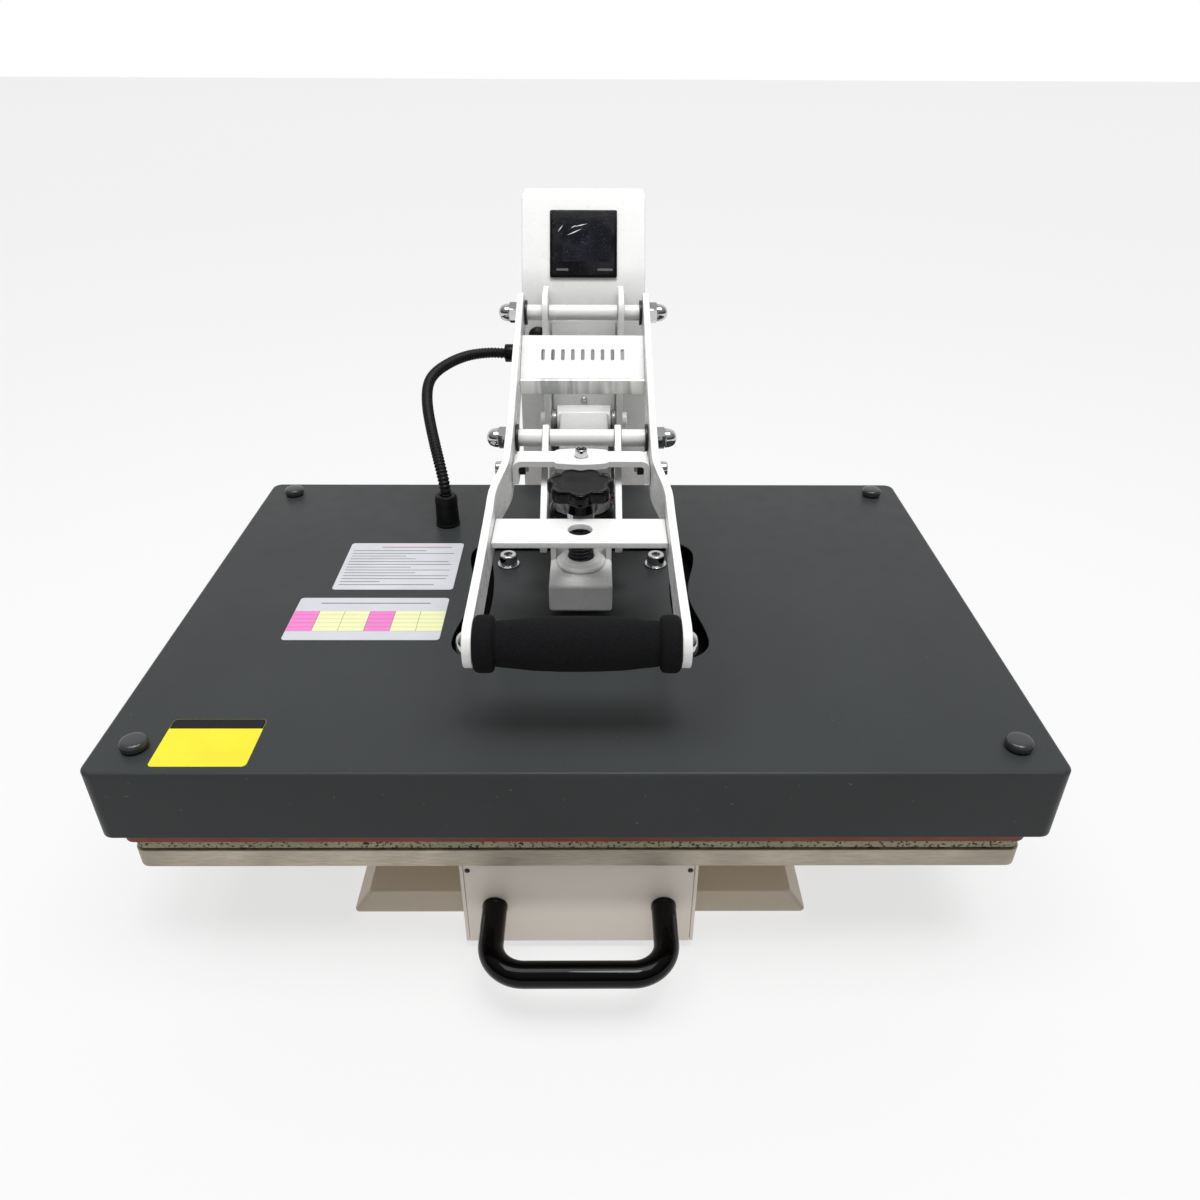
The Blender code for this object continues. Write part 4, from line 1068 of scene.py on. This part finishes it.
def lobed_knob():
    """The star knob: seven glossy lobes, a matt dished top and a hub."""
    foot, high = span("star_knob")[2]
    low, count = foot + 13.0, 140

    def ring(scale, height, roundness=0.0):
        points = []
        for i in range(count):
            angle = math.tau * i / count
            wave = math.cos(7 * (angle + math.pi))
            lobe = 24.4 + 2.2 * wave - 0.5 * wave * wave
            reach = (lobe * (1 - roundness) + 23.8 * roundness) * scale
            points.append((*polar((0.0, CENTRE_Y), reach, angle + math.pi / 2), height))
        return points

    side = [(0.50, low + 0.4, 1.0), (0.86, low, 0.5), (0.95, low + 0.2, 0.1), (0.985, low + 0.9),
            (1.0, low + 2.0), (1.0, high - 2.4), (0.99, high - 1.2), (0.965, high - 0.4), (0.93, high),
            (0.895, high - 0.15, 0.1)]
    top = [(0.86, high - 0.7, 0.2), (0.80, high - 1.0, 0.4), (0.6, high - 0.9, 0.8), (0.35, high - 0.75, 1.0),
           (0.12, high - 0.7, 1.0), (0.01, high - 0.7, 1.0)]
    head = loft("head", [ring(*row) for row in side + top], GLOSS_BLACK)
    head.data.materials.append(SATIN_BLACK)
    flat_height = (high - 1.3) * MM
    for face in head.data.polygons:
        inward = (face.center - Vector((0.0, CENTRE_Y, 0.0)) * MM).xy.length
        if face.normal.z > 0.9 and face.center.z > flat_height and inward < 21.2 * MM:
            face.material_index = 1
    hub = [(8.0, foot), (12.2, foot), (13.0, foot + 0.9), (13.0, low + 0.8), (14.0, low + 1.4)]
    collar = turned("hub", "Z", (0.0, CENTRE_Y), hub, GLOSS_BLACK, 64)
    put(merge("knob_lobes", head, collar), "pressure_knob", "black_plastic", "star_knob")


# ---- upper platen


def ease(t):
    """From 0 to 1, slow at both ends."""
    return t * t * (3 - 2 * t)


def butterfly(waist, lobe_x, lobe_y, lobe_r, end, steps=12):
    """An outline with four round lobes, pinched at the sides and bowed at the ends."""
    low = lobe_y - 8.0
    quarter = [(waist + (lobe_x - waist) * ease(i / steps), low * (i / steps)) for i in range(steps)]
    quarter += arc((lobe_x - lobe_r, low), lobe_r, 0, 62, steps)
    x, y = quarter[-1]
    quarter += [(x * (1 - i / steps), y + (end - y) * ease(i / steps)) for i in range(1, steps)]
    return four_way(quarter + [(0.0, end)])


def cover_lid():
    """The pressed sheet lid: soft bends, round corners and the shaped opening."""
    x, y, (floor, top) = span("cover")
    wall, bend, corner = 1.6, 3.0, 9.5
    rings = [inset(x, y, by, radius, 8, height) for by, height, radius in
             ((wall + 2.0, top - wall, 6.0), (wall, top - wall - 2.0, 7.5), (wall, floor, 7.5),
              (0.0, floor, corner), (0.0, top - bend, corner))]
    for i in range(1, 7):
        turn = math.radians(15 * i)
        by, drop = bend * (1 - math.cos(turn)), bend * (1 - math.sin(turn))
        rings.append(inset(x, y, by, corner - bend * i / 6, 8, top - drop))
    lid = loft("cover_lid", rings, GREY)
    carve(lid, prism("opening", "Z", butterfly(87.0, 97.0, 75.0, 24.0, 97.0), top - 12, top + 5, GREY))
    put(soften(lid, 0.35, 2, 35), "platen", "grey_coat", "cover")


def cap_screws():
    """Painted dome-edged caps in the cover's corners."""
    for end in ("front", "rear"):
        for _, word in SIDES:
            node = f"cap_{end}_{word}"
            x, y, (low, high) = span(node)
            profile = [(7.6, low), (7.6, low + 0.9), (8.4, low + 1.1), (8.8, low + 1.7), (8.8, high - 2.6),
                       (8.5, high - 1.4), (7.6, high - 0.6), (6.0, high - 0.15), (3.0, high), (0.3, high)]
            cap = turned(f"{node}_knob", "Z", (middle(x), middle(y)), profile, GREY_GLOSS, 56)
            put(soften(cap, 0.2, 2, 50), "platen", "grey_coat", node)


def carrier_plate():
    """The steel plate in the opening with its four bolts on polished washers."""
    floor, top, waist, end, corner = 174.0, 180.0, 73.0, 85.0, 6.0
    quarter = [(waist + 9.0 * (i / 12) ** 2, (end - corner) * (i / 12)) for i in range(13)]
    quarter += arc((waist + 3.0, end - corner), corner, 20, 90, 6)
    plate = prism("carrier_plate", "Z", four_way(quarter), floor, top, GREY)
    carve(plate, turned("cutter", "Z", (0.0, CENTRE_Y), [(7.0, floor - 5), (7.0, top + 5)], GREY))
    put(soften(plate, 0.7, 3), "platen", "grey_coat", "mounting_plate")
    washer = lifted([(7.8, 0.1), (9.3, 0.1), (9.6, 0.5), (9.6, 1.5), (9.3, 1.8), (7.8, 1.8)], top)
    parts = []
    for centre in [(side * 64.0, CENTRE_Y + reach) for side in (-1, 1) for reach in (-60.0, 60.0)]:
        parts.append(soften(turned("washer", "Z", centre, washer, CHROME), 0.2, 2, 35))
        parts.append(socket_head("head", "Z", centre, 7.5, top + 1.8, top + 10.4, 7.0, CHROME))
        parts.append(turned("post", "Z", centre, [(6.9, 133.4), (6.9, floor)], ZINC, 32))
    put(merge("plate_bolts", *parts), "platen", "chrome")


def guide_rail():
    x, y, z = span("guide_rail")
    parts = [soften(prism("rail", "Z", rounded(x, y, 3.0, 5), z[0], z[0] + 1.2, WHITE), 0.3, 2)]
    for back in (47.0, 117.0):
        pin = turned("pin", "Z", (0.0, back), [(4.0, z[0] + 1.0), (4.0, z[1] - 1.0), (3.2, z[1])], CHROME, 32)
        parts.append(soften(pin, 0.2, 2))
    put(merge("guide_strip", *parts), "platen", "white_coat", "guide_rail")


# A printed patch whose corners are meant to look square still has this radius
SQUARE = 0.1


def card(name, x, y, ground, patches):
    """A thin card on the cover with coloured patches, and no lettering."""
    outlines = [(rounded(x, y, 3.0, 6), 0.03, 0.2, ground)]
    for patch_x, patch_y, radius, lift, look in patches:
        outlines.append((rounded(patch_x, patch_y, radius, 4), lift, lift + 0.05, look))
    parts = []
    for outline, low, high, look in outlines:
        parts.append(prism("patch", "Z", outline, COVER_TOP + low, COVER_TOP + high, look))
        parts[-1].data.shade_flat()
    put(merge(name, *parts), "platen", "white_coat")


def printed_cards():
    """Plain cards where the press carries its printed sheets: ruled lines and a coloured grid."""
    x, y = (-205.0, -105.7), (-54.0, 26.0)
    lines = [((x[0] + 28.0, x[1] - 10.0), (y[1] - 8.0, y[1] - 6.9), SQUARE, 0.19, RED_INK)]
    left = x[0] + 4.0
    lengths = (0.70, 0.97, 0.52, 0.62, 0.94, 0.97, 0.60, 0.97, 0.66, 0.97, 0.96, 0.36, 0.86)
    for i, length in enumerate(lengths):
        back = y[1] - 13.5 - 4.85 * i
        reach = (x[1] - x[0] - 8.0) * length
        lines.append(((left, left + reach), (back - 0.75, back), SQUARE, 0.19, GREY_INK))
    card("card_rear", x, y, SILVER_CARD, lines)
    x, y = (-226.0, -106.5), (-127.5, -67.0)
    low, tall, width = -115.3, 5.7, (x[1] - x[0]) / 6
    cells = [((x[0] + 18.0, x[1] - 14.0), (y[1] - 8.6, y[1] - 7.6), SQUARE, 0.19, GREY_INK),
             ((x[0] + 0.2, x[1] - 0.2), (low, low + 5 * tall), SQUARE, 0.18, GREY_INK)]
    for column in range(6):
        look = LEMON_CARD if column % 3 else PINK_CARD
        left = x[0] + column * width
        for row in range(5):
            foot = low + row * tall
            cell = (left + 0.15, left + width - 0.15), (foot + 0.12, foot + tall - 0.12)
            cells.append((*cell, SQUARE, 0.22, look))
    card("card_front", x, y, SILVER_CARD, cells)
    x, y = (-269.5, -207.7), (-268.0, -221.5)
    band = (x[0] + 0.1, x[1] - 0.1)
    card("card_corner", x, y, YELLOW_CARD, [(band, (y[1] - 9.6, y[1] - 2.9), SQUARE, 0.18, INK),
                                            (band, (y[1] - 9.6, y[1] - 0.1), 2.9, 0.19, INK)])


def heater_parts():
    """The coated platen, whose edge shows under the cover."""
    x, y, z = span("heat_platen")
    outline = rounded((x[0] - 3.0, x[1]), (y[0] - 3.0, y[1]), 8.0, 8)
    slab = prism("heated_slab", "Z", outline, z[0], z[1], COATING)
    put(soften(slab, 0.8, 3), "platen", "release_coat", "heat_platen")


# ---- drawer


def drawer_front():
    """The drawer's front sheet, set between two side plates, with its small screws."""
    x, y, z = span("drawer_frame")
    sheet, skirt = 2.5, 24.0
    inner = x[1] - sheet
    # The front sheet and side plates take the darker, warmer copy of the white coat as painted shade
    front = box("front", (0.25 - inner, inner - 0.25), (y[0], y[0] + sheet), z, WHITE_PAINTED_SHADE)
    parts = [soften(front, 0.5, 3)]
    outline = [(y[0], z[0]), (y[0] + 40.0, skirt), (y[1], skirt), (y[1], z[1]), (y[0], z[1])]
    profile = lifted([(1.9, 0.0), (1.9, 0.5), (0.3, 1.2)], y[0], -1)
    for side in (-1, 1):
        across = sorted((side * inner, side * x[1]))
        parts.append(soften(prism("side", "X", outline, *across, WHITE_PAINTED_SHADE), 0.5, 3))
        parts.append(turned("head", "Y", (side * (inner - 3.0), z[1] - 6.0), profile, DARK_STEEL, 24))
    put(merge("drawer_face", *parts), "drawer", "white_coat", "drawer_frame")


def lower_platen():
    x, y, z = span("lower_plate")
    plate = prism("bare_plate", "Z", rounded(x, y, 8.0, 8), z[0], z[1], ALUMINIUM)
    put(soften(plate, 0.9, 3), "drawer", "bare_aluminium", "lower_plate")


def sponge_pad():
    """The pad, with round edges and an uneven skin round its sides."""
    x, y, z = span("foam_pad")
    rings = []
    for by, height in ((0.9, 0.0), (0.25, 0.12), (0.0, 0.4), (0.0, 0.7), (0.3, 0.9), (1.1, 1.0)):
        outline = []
        corners = inset(x, y, by, 7.0, 8, z[0] + (z[1] - z[0]) * height)
        for k, (a, b, level) in enumerate(corners):
            c, d, _ = corners[(k + 1) % len(corners)]
            steps = max(1, round(math.hypot(c - a, d - b) / 6.0))
            outline += [(a + (c - a) * i / steps, b + (d - b) * i / steps, level) for i in range(steps)]
        rings.append(outline)
    pad = loft("sponge_pad", rings, PAD)
    for vert in pad.data.vertices:
        if z[0] * MM + 0.0005 < vert.co.z < z[1] * MM - 0.0005:
            wobble = noise.noise(vert.co * 60.0) * 0.0005 + noise.noise(vert.co * 400.0) * 0.00015
            vert.co += Vector((vert.normal.x, vert.normal.y, 0.0)) * wobble
    put(pad, "drawer", "speckled_foam", "foam_pad")


def drawer_pull():
    """The glossy bent pull with a collar at each post."""
    x, y, z = span("pull_handle")
    radius, height, bend = (z[1] - z[0]) / 2, middle(z), 24.0
    post, bar = x[1] - radius, y[0] + radius
    right = [(post, y[1]), (post, y[1] - 4.0)] + arc((post - bend, bar + bend), bend, 0, -90, 14)
    path = [Vector((a, b, height)) for a, b in right]
    path += [Vector((-a, b, height)) for a, b in reversed(right)]
    parts = [tube("bar", path, radius - 0.2, 40, GLOSS_BLACK)]
    profile = lifted([(radius, 0.0), (radius, 3.0), (radius - 0.6, 3.6)], y[1], -1)
    for side in (-1, 1):
        parts.append(soften(turned("collar", "Y", (side * post, height), profile, GLOSS_BLACK), 0.2, 2, 35))
    put(merge("drawer_pull", *parts), "drawer", "black_plastic", "pull_handle")


# ---- heater cable

# The sleeve's route, as in the part's source, from the column's gland to the boot
ROUTE = [(-77.4, 233.0, 295.0), (-84.0, 233.0, 295.0), (-96.0, 230.5, 296.0), (-112.0, 221.0, 297.0),
         (-126.0, 207.0, 296.5), (-138.0, 191.0, 294.0), (-145.0, 178.0, 291.0), (-148.5, 166.0, 287.0),
         (-149.0, 152.0, 281.0), (-146.5, 134.0, 273.0), (-141.5, 113.0, 264.0), (-136.0, 94.0, 254.0),
         (-131.0, 79.0, 243.5), (-127.0, 69.0, 232.0), (-125.0, 64.5, 222.0), (-125.0, 64.5, 216.9)]


def ribbed_sleeve():
    """The corrugated sleeve along its route."""
    pitch, crest, root = 3.3, 5.3, 4.35

    def radius(run):
        wave = 0.5 + 0.5 * math.cos(math.tau * run / pitch)
        return root + (crest - root) * wave ** 0.6

    sleeve = tube("ribbed_sleeve", smooth_path(ROUTE, 0.55), radius, 24, RUBBER)
    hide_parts("conduit")
    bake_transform(sleeve)


def cable_ends():
    """The gland on the column and the moulded boot on the cover."""
    _, y, z = span("conduit_gland")
    centre = (middle(y), middle(z))
    base = hex_nut("hex", "X", centre, 17.5, -60.3, -65.5, SATIN_BLACK, 10)
    profile = [(0.93, -65.4), (1.0, -66.0), (1.0, -79.6), (0.95, -80.4), (0.64, -80.4)]
    dome = fluted("dome", "X", centre, 8.6, 72, 0.04, lambda i: i % 4 < 2, profile, SATIN_BLACK)
    put(merge("cable_gland", base, dome), "base", "black_plastic", "conduit_gland")
    x, y, (low, high) = span("cable_boot")
    profile = [(11.0, low), (11.0, low + 2.0), (10.5, low + 2.8), (10.3, low + 12.0)]
    profile += lifted([(9.9, 9.0), (10.3, 8.2), (10.3, 4.5), (9.9, 3.7), (9.7, 1.2), (9.0, 0.2), (7.0, 0.0),
                       (5.7, 0.0), (5.7, 7.0)], high, -1)
    boot = turned("moulded_boot", "Z", (middle(x), middle(y)), profile, RUBBER, 56)
    put(soften(boot, 0.3, 2, 30), "platen", "rubber", "cable_boot")


# ---- nodes that stay as they are


def dress_nodes():
    """Finishes for the nodes that keep their own shape."""
    kept = {"drawer_support": CREAM, "slide_channel_left": ZINC, "slide_channel_right": ZINC,
            "slide_runner_left": ZINC, "slide_runner_right": ZINC, "circuit_board": BOARD,
            "heating_element": ZINC, "insulation": FACING}
    for node, look in kept.items():
        for place in NODES[node].material_slots:
            place.material = look


# ---- studio


def floor_material():
    look = Look("look_floor", 0.7, specular=0.05)
    look.colour((0.22, 0.22, 0.22))
    look.set("Emission Color", (1.0, 1.0, 1.0, 1.0))
    look.set("Emission Strength", 0.68)
    return look.material


def stand(name, data, place, turn):
    """Set a light or the camera in the scene; turn is in degrees."""
    thing = bpy.data.objects.new(name, data)
    thing.location = place
    thing.rotation_euler = [math.radians(angle) for angle in turn]
    bpy.context.scene.collection.objects.link(thing)
    return thing


def studio():
    """A wide pale floor, a white backdrop, and soft light from above that is dimmer in front."""
    reach = 12.0 / MM
    box("floor", (-reach, reach), (-reach, reach), (-5.0, 0.0), floor_material())
    world = bpy.data.worlds.new("studio")
    bpy.context.scene.world = world
    world.use_nodes = True
    nodes, links = world.node_tree.nodes, world.node_tree.links
    nodes.clear()
    out = nodes.new("ShaderNodeOutputWorld")
    sky = nodes.new("ShaderNodeBackground")
    sky.inputs["Color"].default_value = (1.0, 1.0, 1.0, 1.0)
    links.new(sky.outputs["Background"], out.inputs["Surface"])
    place = nodes.new("ShaderNodeTexCoord")
    parts = nodes.new("ShaderNodeSeparateXYZ")
    links.new(place.outputs["Generated"], parts.inputs["Vector"])

    def larger(first, second):
        node = nodes.new("ShaderNodeMath")
        node.operation = "MAXIMUM"
        links.new(first, node.inputs[0])
        links.new(second, node.inputs[1])
        return node.outputs["Value"]

    ramps = []
    for socket, values in (("Y", (-0.1, 0.6, 0.03, 0.85)), ("Z", (0.15, 0.9, 0.04, 0.50))):
        ramp = nodes.new("ShaderNodeMapRange")
        for key, number in zip(("From Min", "From Max", "To Min", "To Max"), values):
            ramp.inputs[key].default_value = number
        links.new(parts.outputs[socket], ramp.inputs["Value"])
        ramps.append(ramp.outputs["Result"])
    seen = nodes.new("ShaderNodeLightPath").outputs["Is Camera Ray"]
    links.new(larger(larger(*ramps), seen), sky.inputs["Strength"])
    fill = bpy.data.lights.new("fill", "SUN")
    fill.energy = 0.9
    fill.angle = math.radians(15)
    stand("fill", fill, (0.0, 0.0, 0.0), (13, 6, 0))
    panel = bpy.data.lights.new("softbox", "AREA")
    panel.shape = "RECTANGLE"
    panel.size, panel.size_y = 2.2, 1.0
    panel.energy = 31.0
    stand("softbox", panel, (0.0, -0.42, 2.1), (11, 0, 0))


def camera():
    lens = bpy.data.cameras.new("camera")
    lens.lens = 27.98
    lens.sensor_width = 36.0
    lens.clip_start = 0.01
    eye = stand("camera", lens, (0.010, -0.710, 0.583), (58.2, -0.238, -0.3165))
    bpy.context.scene.camera = eye


camera()
studio()
base_tray()
foot_pads()
upright_plates()
column_box()
column_front()
display()
back_panel()
power_entry()
cross_rods()
arm_axle()
coil_springs()
handle_plates()
pierced_panel()
handle_bar()
latch_strap()
keeper()
foam_grip()
push_links()
arm_tube()
magnet()
bush()
threaded_screw()
lobed_knob()
cover_lid()
cap_screws()
carrier_plate()
guide_rail()
printed_cards()
heater_parts()
drawer_front()
lower_platen()
sponge_pad()
drawer_pull()
ribbed_sleeve()
cable_ends()
dress_nodes()

bpy.context.scene.view_settings.view_transform = "Standard"
